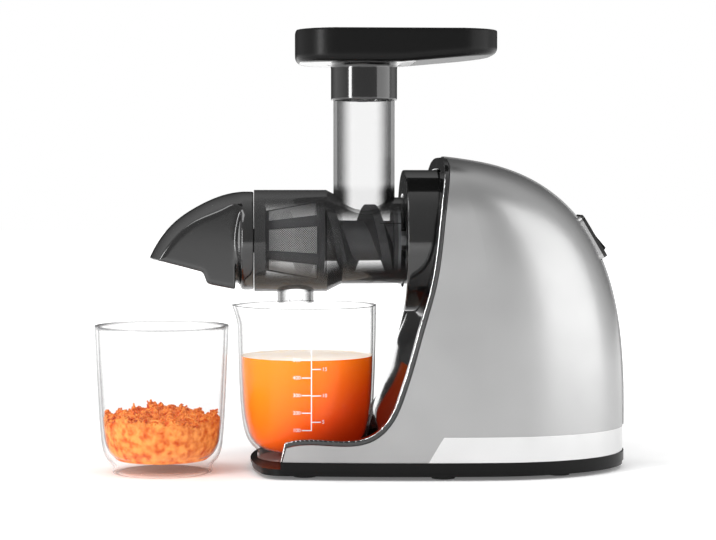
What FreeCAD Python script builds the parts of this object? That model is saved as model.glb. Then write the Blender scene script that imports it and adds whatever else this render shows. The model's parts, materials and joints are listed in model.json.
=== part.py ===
import FreeCAD, Part
import Sketcher
import math
import os

# A horizontal cold press juicer: motor housing with a jug platform, a clear drum with
# its auger and strainer, a feed tray, a pulp snout, a juice jug and a pulp cup.
# X runs along the drive axis with the snout towards -X, Z is up, Z = 0 is the table.

doc = FreeCAD.newDocument("juicer")
sheet = doc.addObject("Spreadsheet::Sheet", "sizes")

sizes = {
    # overall shape of the housing
    "rear_reach": 198.5,
    "front_reach": 83.5,
    "half_width": 78.5,
    "crown_height": 233.3,
    "crown_start": 190.0,
    "waist_x": 88.5,
    "side_radius": 919.0,
    "corner_radius": 20.0,
    "shell_inset": 1.0,
    "shell_wall": 2.5,
    "form_start_x": 20.0,
    "form_start_z": 29.0,
    "form_power": 2.9,
    "crown_power": 3.2,
    "spine_half_width": 13.0,
    "spine_proud": 1.0,
    "seam_gap": 0.2,
    "fit_gap": 0.3,
    # base
    "foot_height": 3.0,
    "foot_radius": 8.5,
    "foot_spread_front": 46.0,
    "foot_spread_middle": 60.0,
    "foot_spread_rear": 46.0,
    "foot_front_inset": 39.5,
    "foot_middle_x": 56.0,
    "foot_rear_inset": 56.5,
    "foot_recess_radius": 4.0,
    "foot_recess_depth": 1.6,
    "vent_count": 8,
    "vent_start_x": 80.0,
    "vent_pitch": 9.0,
    "vent_width": 4.0,
    "vent_half_length": 28.0,
    "bushing_inset": 30.5,
    "bushing_radius": 6.0,
    "bushing_bore": 3.4,
    "screw_front_inset": 53.5,
    "screw_front_spread": 56.0,
    "screw_middle_x": 80.0,
    "screw_middle_spread": 66.0,
    "screw_rear_inset": 36.5,
    "screw_rear_spread": 28.0,
    "screw_head_radius": 3.0,
    "screw_shank_radius": 1.4,
    "plate_thickness": 3.0,
    "skirt_top": 13.0,
    "deck_height": 8.0,
    "tray_floor": 3.0,
    "bay_half_width": 54.0,
    "bay_rear_x": 9.5,
    "rail_front_x": -58.0,
    "rail_top": 22.0,
    "trim_width": 4.0,
    "trim_depth": 9.0,
    "fascia_recess": 1.2,
    "band_top": 31.5,
    "band_front_x": 43.4,
    "band_slant": 11.6,
    "band_thickness": 1.2,
    # drive line
    "axis_height": 170.6,
    "dock_front_x": 30.8,
    "dock_rear_x": 60.0,
    "dock_radius": 52.9,
    "dock_bore": 33.8,
    "dock_depth": 17.2,
    "dock_wall": 4.0,
    "gearbox_wall": 3.0,
    "gearbox_length": 28.0,
    "gear_module": 1.25,
    "gear_width": 11.0,
    "sun_teeth": 12,
    "planet_teeth": 24,
    "planet_count": 3,
    "ring_rim": 4.0,
    "backlash": 0.12,
    "pin_radius": 3.0,
    "carrier_thickness": 4.0,
    "carrier_margin": 6.0,
    "running_gap": 0.05,
    "output_radius": 6.0,
    "hub_radius": 12.0,
    "hub_length": 18.0,
    "hex_flats": 12.0,
    "hex_gap": 0.15,
    "socket_depth": 14.0,
    "bearing_width": 5.0,
    "bearing_radius": 13.0,
    "motor_radius": 36.0,
    "motor_length": 40.0,
    "can_wall": 2.0,
    "magnet_thickness": 4.0,
    "air_gap": 1.0,
    "stack_length": 28.0,
    "magnet_arc": 130.0,
    "armature_slots": 12,
    "motor_bearing_radius": 8.0,
    "motor_shaft_radius": 3.0,
    "commutator_radius": 9.0,
    "commutator_length": 5.0,
    "fan_radius": 26.0,
    "fan_width": 8.0,
    "fan_blades": 9,
    "brush_length": 3.0,
    "brush_half_width": 2.5,
    "brush_reach": 22.0,
    "cradle_half_width": 30.0,
    "cradle_screw_spread": 24.0,
    "cradle_rib": 4.0,
    "board_front_x": 24.0,
    "board_length": 52.0,
    "board_half_width": 32.0,
    "board_thickness": 1.6,
    "board_rise": 8.0,
    "spacer_radius": 3.0,
    "spacer_inset": 4.0,
    "capacitor_radius": 9.0,
    "capacitor_length": 30.0,
    # juicing drum
    "drum_front_x": -80.3,
    "drum_radius": 38.0,
    "drum_wall": 2.5,
    "shoulder_x": -26.5,
    "shoulder_length": 11.2,
    "neck_radius": 32.4,
    "neck_wall": 4.0,
    "neck_end_x": 46.4,
    "chute_x": 2.0,
    "chute_radius": 22.95,
    "chute_wall": 2.8,
    "chute_top": 299.0,
    "spout_x": -49.4,
    "spout_radius": 13.75,
    "spout_wall": 2.0,
    "spout_bottom": 124.5,
    "vane_spacing": 9.4,
    "vane_thickness": 1.0,
    "seal_thickness": 1.2,
    "lug_front_x": 12.5,
    "lug_length": 17.0,
    "lug_rise": 2.0,
    "lug_angle": 26.0,
    # auger and strainer
    "flight_radius": 27.2,
    "flight_pitch": 33.0,
    "flight_root": 15.0,
    "flight_tip": 6.0,
    "core_radius": 14.8,
    "auger_end_x": 26.0,
    "auger_front_x": -76.0,
    "flight_gap": 0.8,
    "nose_radius": 7.0,
    "shank_length": 16.0,
    "strainer_rear_radius": 29.6,
    "strainer_front_radius": 22.4,
    "strainer_wall": 1.8,
    "strainer_windows": 6,
    "window_angle": 42.0,
    "strainer_flange": 4.0,
    "strainer_cuff": 8.0,
    "mesh_thickness": 0.5,
    # end cap
    "cap_reach": 158.5,
    "cap_half_width": 27.8,
    "cap_wall": 2.2,
    "cap_collar_radius": 36.8,
    "cap_collar_length": 14.0,
    "cap_overlap": 5.0,
    "cap_bore": 4.1,
    "cap_hub_radius": 8.0,
    "cap_ports": 3,
    "port_angle": 96.0,
    # feed tray
    "collar_radius": 24.75,
    "collar_bottom": 274.8,
    "tray_bottom": 302.0,
    "tray_top": 327.0,
    "tray_front_x": -49.4,
    "tray_rear_x": 100.6,
    "tray_half_width": 42.0,
    "tray_corner": 32.0,
    "tray_wall": 2.4,
    "tray_rise": 7.0,
    # switch
    "switch_proud": 3.45,
    "switch_z": 174.5,
    "switch_tilt": 31.3,
    "bezel_length": 36.0,
    "bezel_half_width": 16.0,
    "bezel_depth": 12.0,
    "rocker_half_width": 7.5,
    "rocker_gap": 0.35,
    "rocker_low": 0.7,
    "rocker_high": 3.0,
    "rocker_pivot": 5.0,
    "rocker_reach": 15.0,
    "rocker_pin_radius": 1.5,
    "contact_depth": 9.0,
    # juice jug and pulp cup
    "jug_x": -41.0,
    "jug_radius": 52.3,
    "jug_height": 122.6,
    "jug_wall": 2.0,
    "jug_foot_radius": 37.0,
    "jug_lip": 3.2,
    "cup_x": -148.7,
    "cup_y": -17.0,
    "cup_radius": 49.8,
    "cup_height": 108.0,
    "cup_wall": 2.2,
    "cup_foot_radius": 36.5,
}

for row, (name, value) in enumerate(sizes.items(), start=1):
    sheet.set("A" + str(row), name)
    sheet.set("B" + str(row), str(value))
    sheet.setAlias("B" + str(row), name)
doc.recompute()


class Size:
    """A number that remembers how it is worked out from the sheet."""

    def __init__(self, value, text):
        self.value = float(value)
        self.text = text

    def joined(self, other, sign, result, turned=False):
        other_text = other.text if isinstance(other, Size) else repr(float(other))
        pair = (other_text, self.text) if turned else (self.text, other_text)
        return Size(result, "(" + pair[0] + " " + sign + " " + pair[1] + ")")

    def __add__(self, other):
        return self.joined(other, "+", self.value + number(other))

    def __radd__(self, other):
        return self.joined(other, "+", number(other) + self.value, True)

    def __sub__(self, other):
        return self.joined(other, "-", self.value - number(other))

    def __rsub__(self, other):
        return self.joined(other, "-", number(other) - self.value, True)

    def __mul__(self, other):
        return self.joined(other, "*", self.value * number(other))

    def __rmul__(self, other):
        return self.joined(other, "*", number(other) * self.value, True)

    def __truediv__(self, other):
        return self.joined(other, "/", self.value / number(other))

    def __neg__(self):
        return Size(-self.value, "(-1 * " + self.text + ")")

    def __float__(self):
        return self.value


def number(value):
    return float(value)


def size(name):
    return Size(sheet.get(name), "sizes." + name)


def vec(x, y, z):
    return FreeCAD.Vector(number(x), number(y), number(z))


finished_parts = []


def finish(node, label):
    node.Label = label
    finished_parts.append(node)
    return node


def plain_part(label, shape):
    node = doc.addObject("Part::Feature", label)
    node.Shape = shape
    return finish(node, label)


def plane_of(body, role):
    for item in body.Origin.OriginFeatures:
        if item.Role == role:
            return item


def new_sketch(body, role, name):
    sketch = body.newObject("Sketcher::SketchObject", name)
    sketch.AttachmentSupport = [(plane_of(body, role), "")]
    sketch.MapMode = "FlatFace"
    return sketch


def pin_point(sketch, edge, end, x, y):
    for kind, value in (("DistanceX", x), ("DistanceY", y)):
        held = sketch.addConstraint(Sketcher.Constraint(kind, -1, 1, edge, end, number(value)))
        if isinstance(value, Size):
            sketch.setExpression("Constraints[" + str(held) + "]", value.text)


def draw_outline(sketch, corners):
    """Closed outline of straight edges whose corners are bound to the sheet."""
    count = len(corners)
    first = sketch.GeometryCount
    for index in range(count):
        start = corners[index]
        end = corners[(index + 1) % count]
        sketch.addGeometry(Part.LineSegment(vec(start[0], start[1], 0), vec(end[0], end[1], 0)))
    for index in range(count):
        following = (index + 1) % count
        sketch.addConstraint(Sketcher.Constraint("Coincident", first + index, 2, first + following, 1))
    for index, (x, y) in enumerate(corners):
        pin_point(sketch, first + index, 1, x, y)


def draw_circle(sketch, x, y, radius):
    edge = sketch.addGeometry(Part.Circle(vec(x, y, 0), FreeCAD.Vector(0, 0, 1), number(radius)))
    pin_point(sketch, edge, 3, x, y)
    held = sketch.addConstraint(Sketcher.Constraint("Radius", edge, number(radius)))
    if isinstance(radius, Size):
        sketch.setExpression("Constraints[" + str(held) + "]", radius.text)


def move_body(body, x=0, y=0, z=0):
    body.Placement = FreeCAD.Placement(vec(x, y, z), FreeCAD.Rotation())
    for name, value in (("x", x), ("y", y), ("z", z)):
        if isinstance(value, Size):
            body.setExpression(".Placement.Base." + name, value.text)


def turn_profile(body, name, corners, upright=False):
    """Ring or disc turned about the X axis, or about Z when upright."""
    sketch = new_sketch(body, "XZ_Plane", name + "_profile")
    draw_outline(sketch, corners)
    turned = body.newObject("PartDesign::Revolution", name)
    turned.Profile = sketch
    turned.ReferenceAxis = (sketch, ["V_Axis" if upright else "H_Axis"])
    turned.Angle = 360
    body.Tip = turned
    return turned


def turned_blank(label, corners, upright=False, x=0, y=0, z=0):
    body = doc.addObject("PartDesign::Body", label)
    turn_profile(body, "turned", corners, upright)
    move_body(body, x, y, z)
    return body


def turned_part(label, corners, upright=False, x=0, y=0, z=0):
    return finish(turned_blank(label, corners, upright, x, y, z), label)


axis_z = size("axis_height")


def on_axis(label, corners):
    return turned_part(label, corners, z=axis_z)


def ring_corners(start, end, inner, outer):
    return [(start, inner), (end, inner), (end, outer), (start, outer)]


# Plain values of the same cells, for the shapes that are worked out point by point
mm = {name: float(sheet.get(name)) for name in sizes}
drive_z = mm["axis_height"]
x_axis = FreeCAD.Vector(1, 0, 0)
y_axis = FreeCAD.Vector(0, 1, 0)
z_axis = FreeCAD.Vector(0, 0, 1)
far = 400.0
wide = 120.0
tall = 300.0
front_limit = -100.0


def block(x_range, y_range, z_range):
    low = vec(x_range[0], y_range[0], z_range[0])
    return Part.makeBox(x_range[1] - x_range[0], y_range[1] - y_range[0], z_range[1] - z_range[0], low)


def rod(x_start, x_end, radius, y=0.0, z=drive_z):
    return Part.makeCylinder(radius, x_end - x_start, vec(x_start, y, z), x_axis)


def tube(x_start, x_end, inner, outer):
    return rod(x_start, x_end, outer).cut(rod(x_start - 1, x_end + 1, inner))


def post(x, y, z_start, z_end, radius):
    return Part.makeCylinder(radius, z_end - z_start, vec(x, y, z_start), z_axis)


def curve(points):
    line = Part.BSplineCurve()
    line.interpolate([vec(*point) for point in points])
    return line


def prism(points, direction):
    corners = [vec(*point) for point in points]
    wire = Part.makePolygon(corners + [corners[0]])
    return Part.Face(wire).extrude(direction)


def side_prism(points, half_width):
    """Side view outline, given as (x, z), pulled across the whole width."""
    return prism([(x, -half_width, z) for x, z in points], FreeCAD.Vector(0, 2 * half_width, 0))


def revolve_x(points):
    """Solid turned about the drive axis from (x, radius) corners."""
    corners = [vec(x, 0, drive_z + radius) for x, radius in points]
    wire = Part.makePolygon(corners + [corners[0]])
    return Part.Face(wire).revolve(vec(0, 0, drive_z), x_axis, 360)


def one_solid(shape):
    return shape.Solids[0] if len(shape.Solids) == 1 else shape


# The housing form: a dome whose level sections are straight-backed half ellipses
def rear_line(z, grow):
    rise = (z - mm["form_start_z"]) / (mm["crown_height"] + grow - mm["form_start_z"])
    reach = mm["rear_reach"] - mm["shell_inset"] + grow - mm["form_start_x"]
    power = mm["form_power"]
    return mm["form_start_x"] + reach * (1 - max(rise, 0.0) ** power) ** (1 / power)


def half_width_at(z, grow):
    full = mm["half_width"] - mm["shell_inset"] + grow
    rise = (z - mm["crown_start"]) / (mm["crown_height"] + grow - mm["crown_start"])
    power = mm["crown_power"]
    return full * (1 - max(rise, 0.0) ** power) ** (1 / power)


def side_line(x, width):
    return width - (x - mm["waist_x"]) ** 2 / (2 * mm["side_radius"])


level_steps = 12
last_level = 0.9975
quarter_steps = 6
side_steps = 4


def level_section(z, grow, front_x):
    rear_x = rear_line(z, grow)
    width = half_width_at(z, grow)
    base_share = mm["rear_reach"] - mm["waist_x"]
    round_length = min(base_share + grow, 0.62 * (rear_x - mm["form_start_x"] * 2) + 8)
    round_start = rear_x - round_length
    side_points = []
    for step in range(side_steps + 1):
        x = front_x + (round_start - front_x) * step / side_steps
        drop = (side_line(x, 0) - side_line(round_start, 0)) * width / mm["half_width"]
        side_points.append((x, width + drop, z))
    round_points = []
    for step in range(quarter_steps + 1):
        angle = math.pi / 2 * step / quarter_steps
        round_points.append((round_start + round_length * math.sin(angle), width * math.cos(angle), z))
    left_points = [(x, -y, z) for x, y, z in side_points]
    left_round = [(x, -y, z) for x, y, z in round_points]
    edges = [curve(left_points).toShape(), curve(left_round).toShape()]
    edges.append(curve(list(reversed(round_points))).toShape())
    edges.append(curve(list(reversed(side_points))).toShape())
    edges.append(Part.makeLine(vec(*side_points[0]), vec(*left_points[0])))
    return Part.Wire(edges)


def housing_form(grow, start_z, front_x):
    top = mm["crown_height"] + grow
    wires = []
    for step in range(level_steps + 1):
        share = last_level * math.sin(math.pi / 2 * step / level_steps)
        wires.append(level_section(start_z + (top - start_z) * share, grow, front_x))
    return Part.makeLoft(wires, True, False)


# Side view lines: the silver shell's front edge, and the same line moved outwards
shell_edge = [
    (61.6, 243.0), (60.8, 231.0), (57.0, 199.0), (49.0, 137.6), (42.0, 112.5), (32.5, 78.0),
    (24.2, 53.8), (11.5, 33.5), (0.0, 27.0), (-25.0, 25.0), (mm["rail_front_x"], 23.0),
]
edge_curve = curve([(x, 0, z) for x, z in shell_edge])


def moved_edge(offset, samples=14):
    """Points of the front edge moved square to itself, towards the snout and up."""
    first, last = edge_curve.FirstParameter, edge_curve.LastParameter
    points = []
    for step in range(samples + 1):
        place = first + (last - first) * step / samples
        spot = edge_curve.value(place)
        heading = edge_curve.tangent(place)[0]
        points.append((spot.x + heading.z * offset, spot.z - heading.x * offset))
    return points


def smooth_prism(line, corners, half_width):
    """Side view face with one smooth edge through line and straight edges through corners."""
    smooth = curve([(x, -half_width, z) for x, z in line]).toShape()
    chain = [line[-1]] + corners + [line[0]]
    edges = [smooth]
    for start, end in zip(chain, chain[1:]):
        edges.append(Part.makeLine(vec(start[0], -half_width, start[1]), vec(end[0], -half_width, end[1])))
    return Part.Face(Part.Wire(edges)).extrude(FreeCAD.Vector(0, 2 * half_width, 0))


def behind_edge(offset):
    """Everything behind and below the moved front edge, as a side prism."""
    line = moved_edge(offset)
    front_x = line[-1][0] - 3
    return smooth_prism(line, [(front_x, 12.0), (front_x, 2.0), (far, 2.0), (far, line[0][1])], wide)


inset = mm["shell_inset"]
wall = mm["shell_wall"]
seam = mm["seam_gap"]
fit = mm["fit_gap"]
skirt_top = mm["skirt_top"]
form_front = -66.0

outer_form = housing_form(0.0, skirt_top, form_front)
inner_form = housing_form(-wall, skirt_top - 5, form_front - 6)
recess_form = housing_form(-mm["band_thickness"], skirt_top - 5, form_front - 6)
trim_form = housing_form(-mm["trim_depth"], skirt_top - 8, form_front - 6)
proud_form = housing_form(mm["spine_proud"], skirt_top, form_front)

# Switch frame of reference on the rear slope: along points down the slope, out points away
tilt = math.radians(mm["switch_tilt"])
out = FreeCAD.Vector(math.cos(tilt), 0, math.sin(tilt))
along = FreeCAD.Vector(math.sin(tilt), 0, -math.cos(tilt))
switch_spot = vec(rear_line(mm["switch_z"], 0.0) + mm["switch_proud"], 0, mm["switch_z"])


def switch_point(down, proud, y):
    return switch_spot + along * down + out * proud + FreeCAD.Vector(0, y, 0)


def switch_prism(outline, half_width):
    """Outline of (down, proud) pairs in the switch frame, pulled across the width."""
    corners = [switch_point(down, proud, -half_width) for down, proud in outline]
    wire = Part.makePolygon(corners + [corners[0]])
    return Part.Face(wire).extrude(FreeCAD.Vector(0, 2 * half_width, 0))


def switch_box(length, low, high, half_width):
    half = length / 2
    return switch_prism([(-half, low), (half, low), (half, high), (-half, high)], half_width)


bezel_space = switch_box(mm["bezel_length"] + 2 * seam, -mm["bezel_depth"] - 6, 8,
                         mm["bezel_half_width"] + seam)

# Bright band: a shallow recess low on both sides and round the rear
band_front = mm["band_front_x"]


def band_zone(growth):
    low_x = band_front - growth
    high_x = band_front + mm["band_slant"] - growth
    bottom = skirt_top - (1 if growth else 0)
    top = mm["band_top"] + growth
    outline = [(low_x, bottom), (high_x, top), (far, top), (far, bottom)]
    return side_prism(outline, wide)


rear_band = outer_form.cut(recess_form).common(band_zone(0))
plain_part("rear_band", one_solid(rear_band))

skin = outer_form.cut(inner_form)
shell_form = skin.common(behind_edge(0.0))
spine_half = mm["spine_half_width"]
left_half = shell_form.common(block((front_limit, far), (spine_half + seam, wide), (0, tall)))
band_seat = outer_form.cut(recess_form).common(band_zone(seam / 2))
left_half = left_half.cut(band_seat).cut(bezel_space)
plain_part("left_shell", one_solid(left_half))
plain_part("right_shell", one_solid(left_half.mirror(vec(0, 0, 0), y_axis)))

# Centre strips over the crown and down the rear, either side of the switch
strip_x = shell_edge[1][0] + seam
strip_low = mm["band_top"] + 1
strip_zone = side_prism([(strip_x, strip_low), (far, strip_low), (far, tall), (strip_x, tall)], spine_half)
strips = proud_form.cut(inner_form).common(strip_zone).cut(bezel_space)
strip_solids = sorted(strips.Solids, key=lambda solid: solid.CenterOfMass.z)
plain_part("rear_strip", strip_solids[0])
plain_part("crown_strip", strip_solids[-1])

# Trims: dark edging in front of the shells and along the top of the rails
trim_band = behind_edge(mm["trim_width"]).cut(behind_edge(seam))
trim_ring = outer_form.cut(trim_form)
left_trim = trim_ring.common(trim_band).common(block((front_limit, far), (seam / 2, wide), (skirt_top, tall)))
left_trim = one_solid(left_trim)
plain_part("left_trim", left_trim)
plain_part("right_trim", left_trim.mirror(vec(0, 0, 0), y_axis))

# Front fascia: the glossy scoop between the trims, with the ring passing through it
fascia_out = mm["trim_width"] - mm["fascia_recess"]
bay_rear = mm["bay_rear_x"]
scoop_line = [point for point in moved_edge(fascia_out) if point[1] > 40 and point[1] < 228]
scoop_line += [(bay_rear + 3, 30.0), (bay_rear + 0.4, 20.0), (bay_rear, mm["deck_height"] + fit)]
scoop_curve = curve([(x, 0, z) for x, z in scoop_line])


def scoop_points(offset, samples=14):
    points = []
    for step in range(samples + 1):
        place = scoop_curve.FirstParameter
        place += (scoop_curve.LastParameter - scoop_curve.FirstParameter) * step / samples
        spot = scoop_curve.value(place)
        heading = scoop_curve.tangent(place)[0]
        points.append((spot.x + heading.z * offset, spot.z - heading.x * offset))
    return points


scoop_back = list(reversed(scoop_points(-wall)))
scoop_back_edge = curve([(x, -wide, z) for x, z in scoop_back]).toShape()
scoop_front = scoop_points(0.0)
scoop_front_edge = curve([(x, -wide, z) for x, z in scoop_front]).toShape()
scoop_top = Part.makeLine(vec(scoop_back[-1][0], -wide, scoop_back[-1][1]),
                          vec(scoop_front[0][0], -wide, scoop_front[0][1]))
scoop_foot = Part.makeLine(vec(scoop_front[-1][0], -wide, scoop_front[-1][1]),
                           vec(scoop_back[0][0], -wide, scoop_back[0][1]))
scoop_wire = Part.Wire([scoop_front_edge, scoop_foot, scoop_back_edge, scoop_top])
scoop = Part.Face(scoop_wire).extrude(FreeCAD.Vector(0, 2 * wide, 0))
fascia_form = housing_form(-mm["trim_depth"] - fit, skirt_top - 8, form_front - 6)
fascia = scoop.common(fascia_form)
bay_half = mm["bay_half_width"]
for side in (-1, 1):
    near, away = sorted((side * (bay_half - fit), side * wide))
    rail_space = (0, mm["rail_top"] + mm["trim_width"] + fit)
    fascia = fascia.cut(block((front_limit, far), (near, away), rail_space))
fascia = fascia.cut(rod(0, far, mm["dock_radius"] + fit))
plain_part("front_fascia", one_solid(fascia))


# Base: tray with the jug deck and rails, and the closing plate with its feet below
def base_outline(grow):
    width = mm["half_width"] + grow
    tail = mm["rear_reach"] + grow - mm["waist_x"]
    waist = mm["waist_x"]
    nose_x = -mm["front_reach"] - grow
    shoulder_x = mm["rail_front_x"] - 14.0
    shoulder_y = side_line(shoulder_x, width)
    tail_points = []
    for step in range(13):
        angle = math.pi / 2 - math.pi * step / 12
        tail_points.append((waist + tail * math.cos(angle), width * math.sin(angle), 0))
    side_points = []
    for step in range(5):
        x = shoulder_x + (waist - shoulder_x) * step / 4
        side_points.append((x, side_line(x, width), 0))
    far_side = [(x, -y, 0) for x, y, z in reversed(side_points)]
    edges = [curve(side_points).toShape(), curve(tail_points).toShape(), curve(far_side).toShape()]
    nose = Part.Arc(vec(shoulder_x, -shoulder_y, 0), vec(nose_x, 0, 0), vec(shoulder_x, shoulder_y, 0))
    edges.append(nose.toShape())
    return Part.Wire(edges)


def base_slab(grow, low, high):
    slab = Part.Face(base_outline(grow)).extrude(FreeCAD.Vector(0, 0, high - low))
    slab.translate(FreeCAD.Vector(0, 0, low))
    corner_edges = []
    for edge in slab.Edges:
        ends = [point.Point for point in edge.Vertexes]
        upright = len(ends) == 2 and abs(ends[0].z - ends[1].z) > (high - low) * 0.9
        if upright and ends[0].x < mm["rail_front_x"]:
            corner_edges.append(edge)
    return slab.makeFillet(mm["corner_radius"], corner_edges)


plate_top = mm["foot_height"] + mm["plate_thickness"]
deck = mm["deck_height"]
tray = base_slab(0.0, plate_top, skirt_top)
rails = base_slab(-inset - wall - fit, skirt_top, mm["rail_top"])
rails = rails.common(block((mm["rail_front_x"] + 1, bay_rear + 6), (-wide, wide), (0, tall)))
tray = tray.fuse(rails)
tray = tray.cut(block((front_limit, bay_rear + wall + 1.5), (-bay_half, bay_half), (deck, tall)))
inner_tray = base_slab(-inset - wall - 1.5, plate_top + mm["tray_floor"], skirt_top + 1)
tray = tray.cut(inner_tray.common(block((bay_rear + 7, far), (-wide, wide), (0, tall))))
tray = tray.cut(block((front_limit, mm["rail_front_x"] - mm["trim_width"]), (-wide, wide), (deck, tall)))
tray = tray.removeSplitter()

slots = []
vent_half = mm["vent_half_length"]
for column in range(int(mm["vent_count"])):
    slot_x = mm["vent_start_x"] + column * mm["vent_pitch"]
    slots.append(block((slot_x, slot_x + mm["vent_width"]), (-vent_half, vent_half), (0, plate_top + 1)))
plate = base_slab(-inset, mm["foot_height"], plate_top).cut(Part.makeCompound(slots))

feet_places = [
    (mm["foot_front_inset"] - mm["front_reach"], mm["foot_spread_front"]),
    (mm["foot_middle_x"], mm["foot_spread_middle"]),
    (mm["rear_reach"] - mm["foot_rear_inset"], mm["foot_spread_rear"]),
]
feet = []
for foot_x, spread in feet_places:
    for side in (-1, 1):
        foot = post(foot_x, side * spread, 0, mm["foot_height"], mm["foot_radius"])
        recess = post(foot_x, side * spread, 0, mm["foot_recess_depth"], mm["foot_recess_radius"])
        feet.append(foot.cut(recess))
plain_part("rubber_feet", Part.makeCompound(feet))


# Drive line along the X axis, from the drum dock back to the motor fan
dock_front = size("dock_front_x")
dock_rear = size("dock_rear_x")
dock_floor = dock_front + size("dock_depth")
dock_back = dock_floor + size("dock_wall")
dock_skin = size("shell_wall")
dock_radius = size("dock_radius")
seal_seat = size("hub_radius") + 4.0
on_axis("drum_dock", [
    (dock_front, size("dock_bore")),
    (dock_floor, size("dock_bore")),
    (dock_floor, seal_seat),
    (dock_back, seal_seat),
    (dock_back, size("dock_bore") + dock_skin),
    (dock_front + 3.0, size("dock_bore") + dock_skin),
    (dock_front + 3.0, dock_radius - dock_skin),
    (dock_rear, dock_radius - dock_skin),
    (dock_rear, dock_radius),
    (dock_front, dock_radius),
])
on_axis("shaft_seal", ring_corners(dock_floor, dock_back, size("hub_radius") + 0.1, seal_seat))

module = size("gear_module")
sun_teeth = int(mm["sun_teeth"])
planet_teeth = int(mm["planet_teeth"])
ring_teeth = sun_teeth + 2 * planet_teeth
arm = module * (size("sun_teeth") + size("planet_teeth")) * 0.5
ring_pitch = module * (size("sun_teeth") + size("planet_teeth") * 2.0) * 0.5
ring_outer = ring_pitch + module * 1.25 + size("ring_rim")
gearbox_outer = ring_outer + size("gearbox_wall")
face_start = dock_rear
bearing_width = size("bearing_width")
bearing_radius = size("bearing_radius")
cavity_start = face_start + bearing_width + 2.0
gearbox_end = face_start + size("gearbox_length")
nose_start = dock_back + 2.5
housing_blank = turned_blank("housing_blank", [
    (nose_start, bearing_radius),
    (cavity_start, bearing_radius),
    (cavity_start, ring_outer),
    (gearbox_end, ring_outer),
    (gearbox_end, gearbox_outer),
    (face_start + 4.0, gearbox_outer),
    (face_start + 4.0, dock_radius),
    (face_start, dock_radius),
    (face_start, bearing_radius + 5.0),
    (nose_start, bearing_radius + 5.0),
], z=axis_z)

output_radius = size("output_radius")
running = size("running_gap")
bearing_start = nose_start + 0.5


def bearing_shape(start, width, inner, outer):
    race = tube(start, start + width, inner, outer)
    groove = tube(start - 1, start + 0.6, inner + (outer - inner) * 0.3, inner + (outer - inner) * 0.7)
    return race.cut(groove)


bearing_pair = [
    bearing_shape(bearing_start.value, mm["bearing_width"], mm["output_radius"] + mm["running_gap"],
                  mm["bearing_radius"]),
    bearing_shape(bearing_start.value + mm["bearing_width"] + 1.0, mm["bearing_width"],
                  mm["output_radius"] + mm["running_gap"], mm["bearing_radius"]),
]
plain_part("output_bearings", Part.makeCompound(bearing_pair))

carrier_start = cavity_start + 1.0
carrier_end = carrier_start + size("carrier_thickness")
gear_start = carrier_end + 1.0
gear_end = gear_start + size("gear_width")
hub_end = nose_start - 0.5
hub_start = hub_end - size("hub_length")
socket_end = hub_start + size("socket_depth")
on_axis("output_shaft", [
    (socket_end, 0), (carrier_end, 0), (carrier_end, output_radius), (socket_end, output_radius),
])

turn_to_x = FreeCAD.Rotation(y_axis, 90)


def primitive(kind, name, x, **values):
    """Part primitive whose height runs along the drive axis from x."""
    item = doc.addObject(kind, name)
    for prop, value in values.items():
        if isinstance(value, Size):
            setattr(item, prop, value.value)
            item.setExpression(prop, value.text)
        else:
            setattr(item, prop, value)
    item.Placement = FreeCAD.Placement(vec(x, 0, drive_z), turn_to_x)
    item.setExpression(".Placement.Base.z", axis_z.text)
    if isinstance(x, Size):
        item.setExpression(".Placement.Base.x", x.text)
    return item


def boolean(kind, label, base, tool):
    item = doc.addObject(kind, label)
    item.Base = base
    item.Tool = tool
    return item


flats_to_corner = 1 / math.sqrt(3)
hex_corner = size("hex_flats") * flats_to_corner
socket_corner = (size("hex_flats") + size("hex_gap") * 2.0) * flats_to_corner
hub_blank = primitive("Part::Cylinder", "hub_blank", hub_start, Radius=size("hub_radius"),
                      Height=size("hub_length"))
hub_socket = primitive("Part::Prism", "hub_socket", hub_start, Polygon=6, Circumradius=socket_corner,
                       Height=size("socket_depth"))
hub_bore = primitive("Part::Cylinder", "hub_bore", hub_start, Radius=output_radius,
                     Height=size("hub_length"))
hub_open = boolean("Part::Cut", "hub_open", hub_blank, hub_socket)
finish(boolean("Part::Cut", "drive_hub", hub_open, hub_bore), "drive_hub")


# Planetary gears: sun on the motor shaft, ring fixed in the housing, carrier on the output
def gear_points(teeth, phase, inward=False):
    """Tooth corners of a spur gear about the origin, as (angle, radius) worked from the pitch."""
    pitch_radius = mm["gear_module"] * teeth / 2
    pressure = math.radians(20)
    base_radius = pitch_radius * math.cos(pressure)
    tip = pitch_radius + (-mm["gear_module"] if inward else mm["gear_module"])
    root = pitch_radius + (1.25 * mm["gear_module"] if inward else -1.25 * mm["gear_module"])

    def half_angle(radius):
        radius = max(radius, base_radius)
        slope = math.acos(base_radius / radius)
        involute = math.tan(slope) - slope
        at_pitch = math.tan(pressure) - pressure
        middle = (math.pi / (2 * teeth)) - mm["backlash"] / (2 * pitch_radius)
        if inward:
            return middle - at_pitch + involute
        return middle + at_pitch - involute

    corners = []
    for tooth in range(teeth):
        centre = phase + 2 * math.pi * tooth / teeth
        for radius in (root, pitch_radius, tip):
            corners.append((centre - half_angle(radius), radius))
        for radius in (tip, pitch_radius, root):
            corners.append((centre + half_angle(radius), radius))
    return corners


def gear_wire(corners, x, y, z):
    points = []
    for angle, radius in corners:
        points.append(vec(x, y + radius * math.cos(angle), z + radius * math.sin(angle)))
    return Part.makePolygon(points + [points[0]])


gear_x = gear_start.value
gear_width = mm["gear_width"]
sun = Part.Face(gear_wire(gear_points(sun_teeth, 0.0), gear_x, 0, drive_z)).extrude(vec(gear_width, 0, 0))
sun = sun.cut(rod(gear_x - 1, gear_x + gear_width + 1, mm["motor_shaft_radius"]))
plain_part("sun_pinion", sun)

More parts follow.
